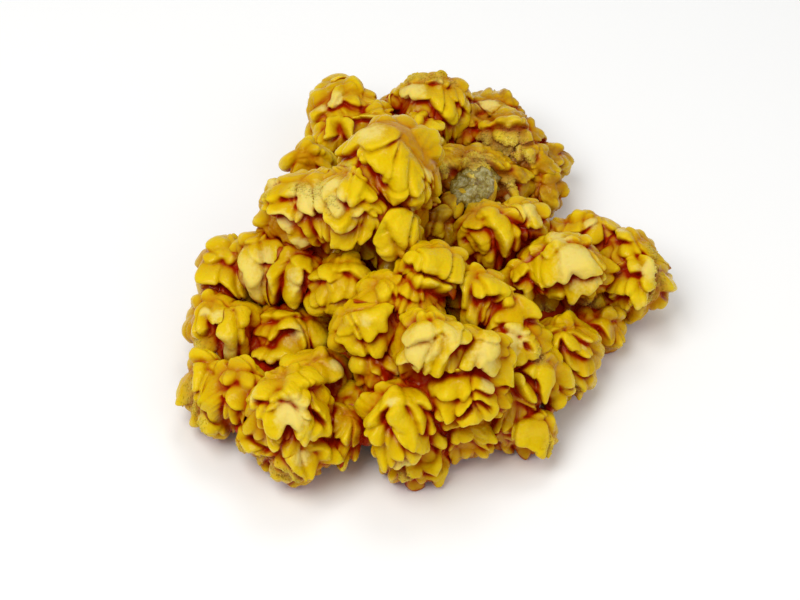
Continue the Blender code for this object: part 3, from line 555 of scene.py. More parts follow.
def relief(mesh, folds, knobbly):
    """Raise the folds on the bare flesh, bent as grown things are, with hems that hang over the creases."""
    links = links_of(mesh)
    places = column(mesh, "co", 3) / METRES
    normals = evened(column(mesh, "normal", 3), links, NORMAL_LENGTH)
    normals /= np.linalg.norm(normals, axis=1)[:, None]
    bent = np.empty_like(places)
    small = np.empty(len(places))
    pleats = np.empty(len(places))
    knobs = np.zeros(len(places))
    upward = Vector(UP)
    for i, place in enumerate(places):
        spot = Vector(place)
        bend = BEND * noise.noise_vector(spot / BEND_LENGTH)
        bent[i] = spot + bend + WAVER * noise.noise_vector(spot / WAVER_LENGTH)
        small[i] = abs(noise.noise(spot / LUMP_LENGTH)) * 2 - LUMP_MEAN
        if knobbly:
            nearest = noise.voronoi(spot / KNOB_LENGTH)[0][0]
            knobs[i] = max(KNOB_LOWEST, KNOB_TOP - KNOB_FALL * nearest**2)
        spot -= PLEAT_STRETCH * spot.dot(upward) * upward
        groove = abs(noise.noise(spot / PLEAT_LENGTH)) / PLEAT_SPREAD
        pleats[i] = max(0.0, 1 - groove) ** 1.5
    heights = np.full(len(places), FLOOR)
    for fold in folds:
        reach = 4 * fold.widths.max()
        near = np.all((bent > fold.points.min(0) - reach) & (bent < fold.points.max(0) + reach), axis=1)
        heights[near] = np.maximum(heights[near], fold.heights(bent[near]))
    grooves = PLEAT_DEPTH * pleats * np.clip((heights - FLOOR) / PLEAT_FADE, 0.0, 1.0)
    heights += KNOB_RISE * knobbly * knobs + LUMP * small - grooves
    # How high each spot stands on its fold: the finish paints the roots of folds darker as painted shade.
    write_attribute(mesh, "raised", (heights - FLOOR) / (FOLD_TOP - FLOOR))
    seen = np.clip(0.5 - 1.5 * normals @ SIGHT, 0.0, 1.0)[:, None]
    hang = seen * UP + (1 - seen) * np.array([0.0, 0.0, 1.0])
    places += heights[:, None] * normals
    places -= SAG * (heights - FLOOR)[:, None] * hang
    even = evened(places.copy(), links, SHARPEN_LENGTH)
    places += SHARPEN * (places - even)
    for place in places:
        warp = WARP * np.array(noise.noise_vector(Vector(place) / WARP_LENGTH))
        place += warp * min(1.0, place[2] / WARP_FULL_HEIGHT)
    places[:, 2] = np.maximum(places[:, 2], CLEARANCE)
    mesh.vertices.foreach_set("co", (places * METRES).ravel())
    mesh.update()


def patches(mesh, masses, spots):
    """How far each vertex lies within the patches, which are given in picture coordinates."""
    places = column(mesh, "co", 3) / METRES
    share = np.zeros(len(places))
    for x, y, radius in spots:
        middle, _ = crest_point(masses, x, y)
        distance = np.linalg.norm(places - middle, axis=1) / (radius * UNIT)
        share = np.maximum(share, np.clip(PATCH_EDGE - distance, 0.0, 1.0))
    return share


def shading_tree():
    """Geometry Nodes that measure how open each spot is, for the painted shade, and strew beads of dried
    jelly on frosted edges.
    """
    tree = bpy.data.node_groups.new("openness and beads", "GeometryNodeTree")
    face = tree.interface
    face.new_socket("Geometry", in_out="INPUT", socket_type="NodeSocketGeometry")
    for name, kind in (
        ("Neighbours", "NodeSocketObject"),
        ("Crease reach", "NodeSocketFloat"),
        ("Gap reach", "NodeSocketFloat"),
        ("Bead radius", "NodeSocketFloat"),
        ("Beads per area", "NodeSocketFloat"),
        ("Seed", "NodeSocketInt"),
        ("Flesh", "NodeSocketMaterial"),
    ):
        face.new_socket(name, in_out="INPUT", socket_type=kind)
    face.new_socket("Geometry", in_out="OUTPUT", socket_type="NodeSocketGeometry")

    def put(kind, settings=(), inputs=(), output=0):
        node = tree.nodes.new(kind)
        for setting, value in dict(settings).items():
            setattr(node, setting, value)
        for socket, value in dict(inputs).items():
            if isinstance(value, bpy.types.NodeSocket):
                tree.links.new(value, node.inputs[socket])
            else:
                node.inputs[socket].default_value = value
        return node.outputs[output]

    given = tree.nodes.new("NodeGroupInput").outputs
    around = put("GeometryNodeObjectInfo", {}, {"Object": given["Neighbours"]}, "Geometry")
    walls = tree.nodes.new("GeometryNodeJoinGeometry")
    tree.links.new(given["Geometry"], walls.inputs[0])
    tree.links.new(around, walls.inputs[0])
    normal = put("GeometryNodeInputNormal")
    lifted = put("ShaderNodeVectorMath", {"operation": "SCALE"}, {0: normal, "Scale": RAY_START * METRES})
    position = put("GeometryNodeInputPosition")
    start = put("ShaderNodeVectorMath", {"operation": "ADD"}, {0: position, 1: lifted})
    geometry = given["Geometry"]
    golden = math.pi * (3 - math.sqrt(5))
    for name, reach in (("openness", given["Crease reach"]), ("daylight", given["Gap reach"])):
        total = None
        for i in range(RAYS):
            level = 1 - 2 * (i + 0.5) / RAYS
            ring = math.sqrt(1 - level * level)
            way = (ring * math.cos(i * golden), ring * math.sin(i * golden), level)
            aim = put("ShaderNodeVectorMath", {"operation": "ADD"}, {0: normal, 1: way})
            inputs = {
                "Target Geometry": walls.outputs[0],
                "Source Position": start,
                "Ray Direction": aim,
                "Ray Length": reach,
            }
            free = put("GeometryNodeRaycast", {}, inputs, "Hit Distance")
            if total is None:
                total = free
            else:
                total = put("ShaderNodeMath", {"operation": "ADD"}, {0: total, 1: free})
        mean = put("ShaderNodeMath", {"operation": "DIVIDE"}, {0: total, 1: float(RAYS)})
        share = put("ShaderNodeMath", {"operation": "DIVIDE"}, {0: mean, 1: reach})
        soft = put("GeometryNodeBlurAttribute", {}, {"Value": share, "Iterations": 2})
        inputs = {"Geometry": geometry, "Name": name, "Value": soft}
        geometry = put("GeometryNodeStoreNamedAttribute", {}, inputs)
    frosted = put("GeometryNodeInputNamedAttribute", {}, {"Name": "frost"}, "Attribute")
    density = put("ShaderNodeMath", {"operation": "MULTIPLY"}, {0: frosted, 1: given["Beads per area"]})
    inputs = {"Mesh": geometry, "Density": density, "Seed": given["Seed"]}
    places = put("GeometryNodeDistributePointsOnFaces", {}, inputs, "Points")
    bead = put("GeometryNodeMeshIcoSphere", {}, {"Radius": given["Bead radius"], "Subdivisions": 1}, "Mesh")
    inputs = {"Min": BEAD_SMALLEST, "Max": BEAD_LARGEST, "Seed": given["Seed"]}
    size = put("FunctionNodeRandomValue", {"data_type": "FLOAT_VECTOR"}, inputs, "Value")
    inputs = {"Max": (2 * math.pi,) * 3, "Seed": given["Seed"]}
    turn = put("FunctionNodeRandomValue", {"data_type": "FLOAT_VECTOR"}, inputs, "Value")
    inputs = {"Points": places, "Instance": bead, "Rotation": turn, "Scale": size}
    beads = put("GeometryNodeInstanceOnPoints", {}, inputs, "Instances")
    strewn = put("GeometryNodeRealizeInstances", {}, {"Geometry": beads})
    smooth = put("GeometryNodeSetShadeSmooth", {}, {"Geometry": strewn})
    whole = tree.nodes.new("GeometryNodeJoinGeometry")
    tree.links.new(smooth, whole.inputs[0])
    tree.links.new(geometry, whole.inputs[0])
    real = put("GeometryNodeRealizeInstances", {}, {"Geometry": whole.outputs[0]})
    done = put("GeometryNodeSetMaterial", {}, {"Geometry": real, "Material": given["Flesh"]})
    tree.links.new(done, tree.nodes.new("NodeGroupOutput").inputs[0])
    return tree


def neighbours_of(name):
    """The other solids and the ground in one mesh, which keep the light off this lobe."""
    built = bmesh.new()
    for node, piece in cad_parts.items():
        if node != name:
            built.from_mesh(piece.data)
    reach = 200 * METRES
    corners = ((-1, -1), (1, -1), (1, 1), (-1, 1))
    built.faces.new([built.verts.new((x * reach, y * reach, 0.0)) for x, y in corners])
    mesh = bpy.data.meshes.new("neighbours")
    built.to_mesh(mesh)
    built.free()
    return linked("neighbours", mesh)


def flesh_finish(name, brown):
    """Moist jelly, golden on the folds and cream where dry, with painted shade: amber in creases, red-brown
    deep down.
    """
    finish = Finish(name + "_finish")
    openness = finish.attribute("openness")
    daylight = finish.attribute("daylight")
    rim = finish.attribute("rim")
    frost = finish.attribute("frost")
    blotches = finish.noise(7.0, 4.0, 0.5)
    grains = finish.noise(0.9, 3.0)
    raised = finish.attribute("raised")
    # Painted light and shade: lighter where a spot is open, high on its fold or on a rim, and darker in
    # creases, gaps and the roots of folds.
    light = finish.step(daylight, 0.3, 0.98) * 0.45 + finish.step(openness, 0.5, 1.0) * 0.22 + raised * 0.55
    light = light + rim * 0.12 + (blotches - 0.5) * 0.3 - 0.08 * brown - 0.22
    # The colours of that painted light: painted shade from red-brown in the deepest gaps through amber, up to
    # golden where most lit.
    tone_stops = (
        (0.05, (0.340, 0.010, 0.0001)),
        (0.22, (0.410, 0.070, 0.0001)),
        (0.40, (0.490, 0.200, 0.0002)),
        (0.60, (0.580, 0.330, 0.0003)),
        (0.92, (0.700, 0.475, 0.0008)),
    )
    colour = finish.ramp(light, tone_stops)
    # The brown share: real browning of the older lobes, and painted shade on the shaded inner left and under
    # right lobes.
    browned = finish.step(finish.noise(5.0, 3.0, 0.4) + 0.35 * brown, 0.62, 0.9) * min(0.85, brown)
    colour = finish.mixed(browned, colour, (0.33, 0.125, 0.001))
    dry = finish.attribute("cream") + (blotches - 0.5) * 1.1 + (grains - 0.5) * 0.9 + rim * 0.35
    dry = finish.step(dry, 0.45, 1.15) * finish.step(openness, 0.5, 0.85)
    colour = finish.mixed(dry * 0.75, colour, (0.78, 0.64, 0.19))
    # A painted highlight: a brighter yellow on open rims.
    rim_highlight = finish.step(rim + (grains - 0.5) * 0.5, 0.35, 1.1) * finish.step(openness, 0.6, 0.9) * 0.28
    colour = finish.mixed(rim_highlight, colour, (0.80, 0.60, 0.02))
    colour = finish.mixed(frost * 0.5, colour, (0.62, 0.46, 0.09))
    inputs = {"Vector": finish.place, "Scale": 1 / (0.8 * METRES)}
    pores = finish.add("ShaderNodeTexVoronoi", {}, inputs, "Distance")
    skin = finish.bump(finish.noise(1.8, 3.0), 0.5, 0.5)
    skin = finish.bump(pores, 0.16, 0.5, skin)
    wet = finish.step(blotches, 0.42, 0.6) * (1 - dry)
    finish.set(
        Base_Color=colour,
        Roughness=0.38 + 0.3 * dry - 0.14 * wet,
        Coat_Weight=0.22 * wet,
        Normal=skin,
        Coat_Roughness=0.1,
        Specular_IOR_Level=0.18,
        Specular_Tint=(1.0, 0.75, 0.12),
        Subsurface_Weight=0.2,
        Subsurface_Radius=(1.0, 0.35, 0.03),
        Subsurface_Scale=0.002,
    )
    return finish.material


tree = shading_tree()


def grow_lobe(name, mass_list, folds, cream, frost, brown, knobbly=0.0):
    """Grow one lobe's flesh, skin and finish, in place of its plain solid."""
    masses = [Mass(*mass) for mass in mass_list]
    shapes = [core_mesh(mass) for mass in masses] + [neck_mesh(mass) for mass in masses]
    piece = linked(name.replace("lobe", "folds"), joined_mesh(name, shapes))
    remesh = piece.modifiers.new("one skin", "REMESH")
    remesh.mode = "VOXEL"
    remesh.voxel_size = GRAIN * METRES
    soften = piece.modifiers.new("soften", "SMOOTH")
    soften.factor = 0.5
    soften.iterations = SOFTENINGS
    settle(piece)
    keep_largest_part(piece.data)
    grown = [drawn_fold(masses, lift, crest) for _, lift, *crest in folds]
    for i, mass in enumerate(masses):
        grown += unseen_folds(mass, name + str(i))
    relief(piece.data, grown, knobbly)
    mesh = piece.data
    links = links_of(mesh)
    places = column(mesh, "co", 3) / METRES
    even = evened(places.copy(), links, RIM_LENGTH)
    # How much each spot bulges: the finish paints rims paler as dry edges and adds a painted highlight on
    # them.
    write_attribute(mesh, "rim", np.sum((places - even) * column(mesh, "normal", 3), axis=1))
    write_attribute(mesh, "cream", patches(mesh, masses, cream))
    write_attribute(mesh, "frost", patches(mesh, masses, frost))
    mesh.shade_smooth()
    walls = neighbours_of(name)
    nodes = piece.modifiers.new("openness and beads", "NODES")
    nodes.node_group = tree
    values = {
        "Neighbours": walls,
        "Crease reach": CREASE_REACH * METRES,
        "Gap reach": GAP_REACH * METRES,
        "Bead radius": BEAD_SIZE * METRES,
        "Beads per area": BEADS_PER_AREA / METRES**2,
        "Seed": BEAD_SEED,
        "Flesh": flesh_finish(name, brown),
    }
    for item in tree.interface.items_tree:
        if item.in_out == "INPUT" and item.name in values:
            nodes[item.identifier] = values[item.name]
    settle(piece)
    bpy.data.objects.remove(walls)
    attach(piece, "root")
    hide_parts(name)
    return piece


crown_masses = (
    ((392, 168), 38.0, (12.0, 12.0, 13.0)),
    ((350, 208), 36.0, (9.0, 9.0, 10.5)),
    ((311, 212), 32.0, (11.6, 10.0, 11.0)),
    ((393, 232), 31.0, (6.0, 6.5, 8.0)),
    ((309, 163), 28.0, (5.3, 5.0, 5.6)),
    ((283, 228), 28.0, (5.6, 5.6, 6.5)),
)
crown_folds = (
    ("top flap", 0.5, (343, 149, 9), (356, 139, 13), (372, 135, 13), (386, 136, 9)),
    ("hook", 1.6, (368, 154, 8), (382, 154, 9), (394, 164, 10), (398, 177, 9), (394, 190, 6)),
    ("cheek", 0.6, (413, 172, 11), (415, 190, 13), (409, 201, 9)),
    ("cheek rim", -0.4, (403, 151, 6), (416, 158, 7), (427, 171, 9), (431, 186, 7)),
    ("upper pillow", 0.6, (332, 166, 6), (345, 163, 6), (357, 166, 7), (367, 174, 6)),
    ("lower pillow", 1.4, (350, 187, 8), (361, 185, 11), (369, 189, 8)),
    ("pillow foot", 0.7, (354, 203, 6), (365, 201, 7), (374, 206, 6)),
    ("ball, right", 1.2, (390, 213, 10), (402, 223, 11), (405, 237, 9)),
    ("ball, left", 1.8, (379, 220, 7), (384, 233, 9), (388, 243, 7)),
    ("ball, under right", -1.5, (409, 238, 5), (403, 250, 8), (393, 258, 8)),
    ("ball, under", -2.5, (384, 260, 7), (372, 256, 8)),
    ("under lip", -1.2, (370, 240, 6), (361, 246, 8)),
    ("plateau", 0.2, (310, 202, 12), (322, 192, 15), (336, 203, 15), (345, 214, 10)),
    ("left round", -0.4, (272, 193, 11), (284, 187, 11), (298, 190, 10)),
    ("left tongue", 0.5, (267, 204, 6), (281, 208, 6), (296, 214, 4)),
    ("left sheet", -0.8, (268, 219, 4), (280, 230, 6), (294, 240, 7), (304, 249, 5)),
    ("sheet fold", -1.0, (299, 222, 7), (309, 236, 6), (311, 252, 5)),
    ("arc", 1.0, (322, 227, 4), (335, 232, 5), (348, 236, 7), (360, 232, 7), (367, 220, 7)),
    ("keel", -0.3, (327, 236, 4), (338, 247, 5), (349, 254, 6)),
)
crown_cream = (
    (372, 131, 17), (431, 171, 9), (311, 198, 22), (338, 205, 14), (331, 183, 10),
    (283, 222, 13), (300, 244, 9), (272, 186, 10), (357, 213, 8), (410, 212, 8), (349, 227, 7),
)
crown_frost = ((300, 184, 8), (318, 192, 10), (332, 204, 8), (268, 196, 7))
grow_lobe("crown_lobe", crown_masses, crown_folds, crown_cream, crown_frost, 0.0)

# The back left lobe
# A small lobe behind the crown: one pleated fan of jelly and one smooth amber knob. It is shaded and moist,
# and only its peak has dried pale.
back_left_masses = (
    ((343, 119), 14.0, (9.6, 9.0, 10.0)),
    ((336, 99), 14.0, (4.5, 5.0, 6.0)),
    ((373, 128), 16.0, (6.0, 7.0, 7.0)),
    ((338, 146), 14.0, (6.5, 6.0, 8.0)),
)
back_left_folds = (
    ("left flap", -0.5, (319, 106, 9), (316, 120, 10), (320, 136, 10), (326, 144, 7)),
    ("peak", 0.0, (334, 85, 6), (335, 97, 9)),
    ("top right flap", -0.6, (346, 93, 6), (357, 95, 8), (366, 98, 6)),
    ("arch", 1.0, (329, 130, 5), (333, 120, 6), (340, 117, 6), (347, 126, 5), (351, 134, 4)),
    ("middle", 0.5, (352, 119, 6), (361, 113, 7), (371, 113, 5)),
    ("right shoulder", -0.2, (372, 105, 6), (385, 105, 7)),
    ("wedge", 0.4, (392, 106, 6), (400, 118, 7), (402, 132, 5)),
    ("wedge inner", 0.8, (383, 112, 5), (392, 125, 6), (397, 138, 4)),
    ("knob", 0.4, (306, 163, 15), (313, 161, 14)),
    ("knob neighbour", 0.0, (321, 152, 5), (330, 160, 7)),
)
back_left_cream = ((336, 98, 11), (322, 104, 8))
back_left_frost = ()
grow_lobe("back_left_lobe", back_left_masses, back_left_folds, back_left_cream, back_left_frost, 0.25)

# The back lobe
# The most tightly ruffled lobe: thin frills of jelly side by side like the pleats of a curtain, grown from
# one stem. Its top edge is frosted with dried grains.
back_masses = (
    ((432, 113), 16.0, (10.8, 9.5, 12.2)),
    ((420, 142), 18.0, (6.5, 7.0, 8.0)),
    ((394, 112), 13.0, (5.0, 6.0, 7.0)),
)
back_folds = (
    ("brow", 0.3, (403, 92, 7), (416, 91, 9), (428, 94, 7)),
    ("fringe", -1.0, (410, 81, 4), (423, 78, 4), (435, 75, 6), (447, 81, 6)),
    ("round flap", 1.0, (440, 100, 9), (448, 110, 9)),
    ("right fold", 0.4, (460, 96, 6), (467, 108, 7), (462, 121, 6), (450, 131, 4)),
    ("first frill", 0.6, (428, 111, 5), (418, 115, 5), (413, 125, 5)),
    ("second frill", 1.1, (441, 121, 4), (431, 125, 4), (429, 134, 4), (434, 141, 4)),
    ("third frill", 1.0, (420, 130, 3), (410, 134, 4), (404, 140, 4), (411, 147, 4)),
    ("fourth frill", 0.4, (430, 143, 5), (422, 149, 5), (418, 155, 3)),
    ("fifth frill", 0.4, (448, 140, 5), (438, 149, 5), (432, 157, 4)),
    ("sixth frill", 0.0, (463, 127, 4), (452, 134, 4)),
    ("left shoulder", -0.5, (389, 98, 6), (399, 89, 6)),
    ("small fold", 0.0, (467, 95, 4), (474, 99, 5)),
)
back_cream = ((412, 90, 15), (438, 80, 10), (405, 80, 7))
back_frost = ((409, 77, 9), (424, 73, 9), (440, 74, 8), (455, 80, 6))
grow_lobe("back_lobe", back_masses, back_folds, back_cream, back_frost, 0.2)

# The back right lobe
# An older, browner lobe: short folds and lumps of jelly with a grainy skin, grown close together and wet in
# the hollows.
back_right_masses = (
    ((492, 117), 12.0, (8.3, 7.0, 7.3)),
    ((508, 142), 14.0, (8.6, 8.0, 8.0)),
    ((549, 162), 10.0, (4.3, 5.0, 5.0)),
    ((530, 166), 13.0, (5.5, 6.0, 7.0)),
    ((541, 194), 10.0, (5.3, 5.5, 6.3)),
    ((468, 136), 12.0, (7.0, 7.0, 8.0)),
)
back_right_folds = (
    ("rough back", -0.3, (480, 106, 9), (494, 104, 9), (506, 108, 6)),
    ("back knob", 0.5, (508, 121, 8), (519, 121, 8)),
    ("back fold", -0.5, (477, 123, 7), (490, 124, 6)),
    ("inner lumps", -1.2, (474, 140, 5), (486, 138, 5)),
    ("ridge", 0.2, (498, 136, 5), (511, 137, 6), (524, 138, 5)),
    ("low ridge", 0.2, (487, 147, 4), (498, 145, 5), (506, 149, 5), (513, 161, 5)),
    ("cross fold", 0.0, (515, 146, 4), (519, 155, 5)),
    ("dark round", -0.4, (530, 150, 8), (535, 160, 9)),
    ("right knob", 0.2, (553, 156, 10), (548, 166, 9)),
    ("lower knob", 0.0, (548, 190, 7), (551, 199, 8)),
    ("low tip", -0.6, (546, 207, 5), (540, 210, 5)),
)
back_right_cream = ((489, 104, 12), (508, 110, 9))
back_right_frost = ((510, 146, 16), (484, 142, 10), (526, 158, 8))
grow_lobe(
    "back_right_lobe", back_right_masses, back_right_folds, back_right_cream, back_right_frost, 0.75, 0.8
)

# The torn lobe
# A low lobe with small beads of jelly round a patch where the skin has torn off. It grows between the crown
# and the right lobe and is brown and grainy.
torn_masses = (
    ((472, 180), 17.0, (9.5, 9.0, 8.5)),
    ((445, 178), 19.0, (5.0, 5.0, 7.0)),
    ((506, 184), 15.0, (5.0, 6.0, 7.0)),
    ((454, 212), 18.0, (4.2, 4.0, 5.0)),
    ((434, 228), 19.0, (5.0, 4.5, 4.6)),
    ((424, 208), 19.0, (4.4, 4.0, 5.0)),
)
torn_folds = (
    ("first bead", 0.2, (457, 160, 7), (460, 163, 7)),
    ("second bead", 0.2, (475, 154, 5), (480, 157, 5)),
    ("third bead", 0.6, (491, 158, 7), (495, 162, 6)),
    ("fourth bead", 0.0, (442, 163, 4), (445, 175, 4)),
    ("torn flap", 0.8, (474, 172, 8), (480, 186, 12), (473, 203, 8)),
    ("torn corner", 0.2, (458, 186, 7), (464, 190, 8)),
    ("torn bead", 0.0, (510, 184, 4), (514, 192, 4)),
    ("pale bead", 1.0, (450, 207, 6), (452, 209, 6)),
    ("inner bead", -1.0, (432, 200, 6), (437, 205, 6)),
    ("shade bead", -2.0, (418, 212, 7), (420, 214, 7)),
    ("green bead", 0.0, (431, 229, 7), (440, 227, 7)),
    ("low bead", -0.5, (454, 222, 5), (464, 219, 5)),
)
torn_cream = ((474, 176, 9), (508, 198, 5))
torn_frost = ((478, 160, 14), (510, 184, 8), (447, 168, 8))
torn_flesh = grow_lobe("torn_lobe", torn_masses, torn_folds, torn_cream, torn_frost, 0.75, 0.6)

# The torn patch
# Where the torn lobe was damaged, its jelly has dried to a glassy, olive-grey crust with a ragged outline and
# lumps like coarse sugar. It is a thin sheet that lies on the flesh and is sunk in it at its edges.
TORN_OUTLINE = (
    (450, 181), (459, 171), (468, 167), (474, 170), (481, 165), (492, 168),
    (503, 178), (498, 184), (501, 190), (491, 197), (486, 205), (479, 214),
    (472, 209), (467, 214), (461, 204), (454, 211), (455, 198), (449, 192),
)
TORN_STEP = 0.8
TORN_RISE = 1.1
TORN_DEPTH = 2.5
TORN_EDGE = 1.0
CRYSTAL_LENGTH = 1.5
CRYSTAL_RISE = 0.7
CRYSTAL_FALL = 1.3
CRUMB_RISE = 0.3
CRUMB_LENGTH = 0.6
TORN_SUNK = 0.5
TORN_EVENINGS = 40
TORN_DROP = 0.4


def torn_finish():
    """Glassy crust, clear and olive in its hollows, with whitish crystals on its lumps."""
    finish = Finish("torn_patch_finish")
    grains = finish.noise(1.4, 4.0, 0.6)
    tone_stops = (
        (0.34, (0.20, 0.10, 0.003)),
        (0.50, (0.34, 0.25, 0.03)),
        (0.62, (0.46, 0.38, 0.09)),
        (0.80, (0.64, 0.58, 0.30)),
    )
    finish.set(
        Base_Color=finish.ramp(grains + (finish.attribute("raised") - 0.5) * 0.3, tone_stops),
        Roughness=0.12 + 0.3 * grains,
        Normal=finish.bump(finish.noise(0.6, 3.0), 0.2, 0.6),
        Transmission_Weight=0.3,
        Subsurface_Weight=0.3,
        Subsurface_Radius=(1.0, 0.7, 0.25),
        Subsurface_Scale=0.002,
    )
    return finish.material


def within(outline, x, y):
    """How far (x, y) lies inside the outline in picture units, or less than nothing if it is outside."""
    inside, nearest = False, math.inf
    for (ax, ay), (bx, by) in zip(outline, outline[1:] + outline[:1]):
        if (ay > y) != (by > y) and x < ax + (y - ay) * (bx - ax) / (by - ay):
            inside = not inside
        share = ((x - ax) * (bx - ax) + (y - ay) * (by - ay)) / ((bx - ax) ** 2 + (by - ay) ** 2)
        share = min(1.0, max(0.0, share))
        nearest = min(nearest, math.hypot(x - ax - share * (bx - ax), y - ay - share * (by - ay)))
    return nearest if inside else -nearest


def lay_patch(name, outline, flesh):
    """A crust with that outline on the flesh, as seen by the eye."""
    columns = np.arange(min(x for x, _ in outline), max(x for x, _ in outline), TORN_STEP)
    rows = np.arange(min(y for _, y in outline), max(y for _, y in outline), TORN_STEP)
    distances = np.full((len(rows), len(columns)), np.nan)
    for i, y in enumerate(rows):
        for k, x in enumerate(columns):
            hit, place, *_ = flesh.ray_cast(Vector(EYE) * METRES, Vector(sight_line(x, y)))
            if hit:
                distances[i, k] = np.linalg.norm(np.array(place) / METRES - EYE)
    distances[np.isnan(distances)] = np.nanmedian(distances)
    for _ in range(TORN_EVENINGS):
        padded = np.pad(distances, 1, mode="edge")
        around = padded[:-2, 1:-1] + padded[2:, 1:-1] + padded[1:-1, :-2] + padded[1:-1, 2:]
        distances = np.minimum(0.25 * around, distances + TORN_DROP)
    built = bmesh.new()
    layer = built.verts.layers.float.new("raised")
    pairs = {}
    for i, y in enumerate(rows):
        for k, x in enumerate(columns):
            inside = within(outline, x, y) * UNIT
            if inside < 0:
                continue
            place = EYE + distances[i, k] * sight_line(x, y)
            cells = 1 - CRYSTAL_FALL * noise.voronoi(Vector(place) / CRYSTAL_LENGTH)[0][0]
            rise = CRYSTAL_RISE * cells + CRUMB_RISE * noise.noise(Vector(place) / CRUMB_LENGTH)
            rise = (TORN_RISE + rise) * min(1.0, inside / TORN_EDGE) ** 0.5 - TORN_SUNK
            top = built.verts.new((place - rise * SIGHT) * METRES)
            top[layer] = rise
            pairs[i, k] = top, built.verts.new((place + TORN_DEPTH * SIGHT) * METRES)
    for i, k in pairs:
        square = [(i, k), (i + 1, k), (i + 1, k + 1), (i, k + 1)]
        if all(corner in pairs for corner in square):
            built.faces.new([pairs[corner][0] for corner in square])
            built.faces.new([pairs[corner][1] for corner in reversed(square)])
    partner = {top: below for top, below in pairs.values()}
    for edge in [edge for edge in built.edges if edge.is_boundary and edge.verts[0] in partner]:
        loop = edge.link_loops[0]
        start, end = loop.vert, loop.link_loop_next.vert
        built.faces.new((end, start, partner[start], partner[end]))
    bmesh.ops.delete(built, geom=[vertex for vertex in built.verts if not vertex.link_faces], context="VERTS")
    mesh = bpy.data.meshes.new(name)
    built.to_mesh(mesh)
    built.free()
    mesh.shade_smooth()
    mesh.materials.append(torn_finish())
    return linked(name, mesh)


torn_patch = lay_patch("torn_patch", TORN_OUTLINE, torn_flesh)
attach(torn_patch, "root")

# The right lobe
# The longest lobe: fingers and leaves of jelly that lean to the right and end in a frosted fan. It is carried
# by the foot at its inner end and arches out over the ground.
right_masses = (
    ((490, 238), 18.0, (9.0, 8.0, 10.0)),
    ((522, 222), 20.0, (6.0, 6.0, 6.5)),
    ((566, 272), 18.0, (11.0, 8.5, 10.0)),
    ((584, 236), 14.0, (10.0, 6.5, 6.5)),
    ((632, 257), 14.0, (7.0, 7.0, 8.0)),
    ((638, 286), 12.0, (7.6, 8.0, 9.0)),
    ((528, 284), 17.0, (6.5, 6.0, 7.0)),
)
right_folds = (
    ("first finger", 0.0, (466, 230, 4), (463, 243, 5), (471, 254, 4)),
    ("second finger", -0.4, (474, 240, 4), (480, 256, 4), (484, 270, 4)),
    ("third finger", 0.4, (483, 236, 5), (487, 250, 5), (493, 264, 5)),
    ("finger root", 0.0, (470, 224, 5), (480, 221, 5)),
    ("slope", 0.8, (488, 212, 6), (496, 221, 7), (503, 233, 7), (507, 246, 4)),
    ("bright lobe", 1.0, (513, 211, 7), (524, 208, 8), (530, 217, 8)),
    ("small drop", 0.2, (514, 227, 5), (517, 241, 5)),
    ("second drop", 0.0, (527, 232, 5), (526, 246, 4)),
    ("shoulder", 0.6, (538, 230, 7), (537, 246, 6)),
    ("shell", 1.2, (550, 230, 7), (558, 240, 8), (551, 250, 6)),
    ("leaf", 1.8, (542, 270, 7), (560, 263, 10), (578, 258, 11), (591, 261, 8)),
    ("leaf under", 0.8, (556, 292, 7), (576, 286, 10), (592, 277, 9), (600, 270, 5)),
    ("leaf edge", -0.4, (577, 306, 4), (590, 300, 5), (598, 289, 4)),
    ("wet frill", 0.0, (513, 258, 5), (520, 256, 4)),
    ("wet fold", 0.6, (510, 274, 4), (520, 269, 5), (531, 263, 4)),
    ("wet toe", 0.0, (511, 284, 4), (523, 281, 4)),
    ("wet drop", 0.2, (528, 285, 5), (530, 297, 5)),
    ("low fold", 0.0, (540, 277, 5), (551, 284, 5)),
    ("low lip", -0.5, (531, 305, 4), (544, 306, 5), (554, 303, 4)),
    ("top ridge", 0.0, (548, 218, 6), (562, 221, 6), (578, 221, 6), (592, 223, 6)),
    ("top bump", -0.6, (585, 213, 4), (592, 214, 5)),
    ("second ridge", 0.4, (570, 235, 5), (586, 237, 6), (601, 233, 6)),
    ("right shoulder", 0.0, (605, 222, 6), (619, 227, 8), (629, 236, 6)),
    ("fan", 0.0, (640, 246, 7), (646, 262, 9), (648, 280, 9), (642, 296, 8)),
    ("fan fringe", -1.2, (655, 254, 5), (661, 276, 5), (655, 298, 5), (647, 312, 5)),
    ("fan inner", 0.6, (606, 250, 7), (616, 262, 8)),
    ("fan petal", 1.0, (612, 280, 8), (626, 288, 8), (637, 299, 5)),
    ("petal under", -0.4, (610, 302, 6), (626, 306, 5)),
    ("fan heart", 0.4, (624, 250, 7), (630, 266, 8)),
)
right_cream = ((528, 214, 11), (561, 238, 11), (573, 264, 25), (590, 276, 14), (650, 270, 13), (590, 221, 9))
right_frost = (
    (655, 250, 9), (661, 268, 10), (662, 286, 11), (656, 302, 11), (640, 312, 9), (590, 306, 9),
    (544, 309, 7),
)
grow_lobe("right_lobe", right_masses, right_folds, right_cream, right_frost, 0.15)

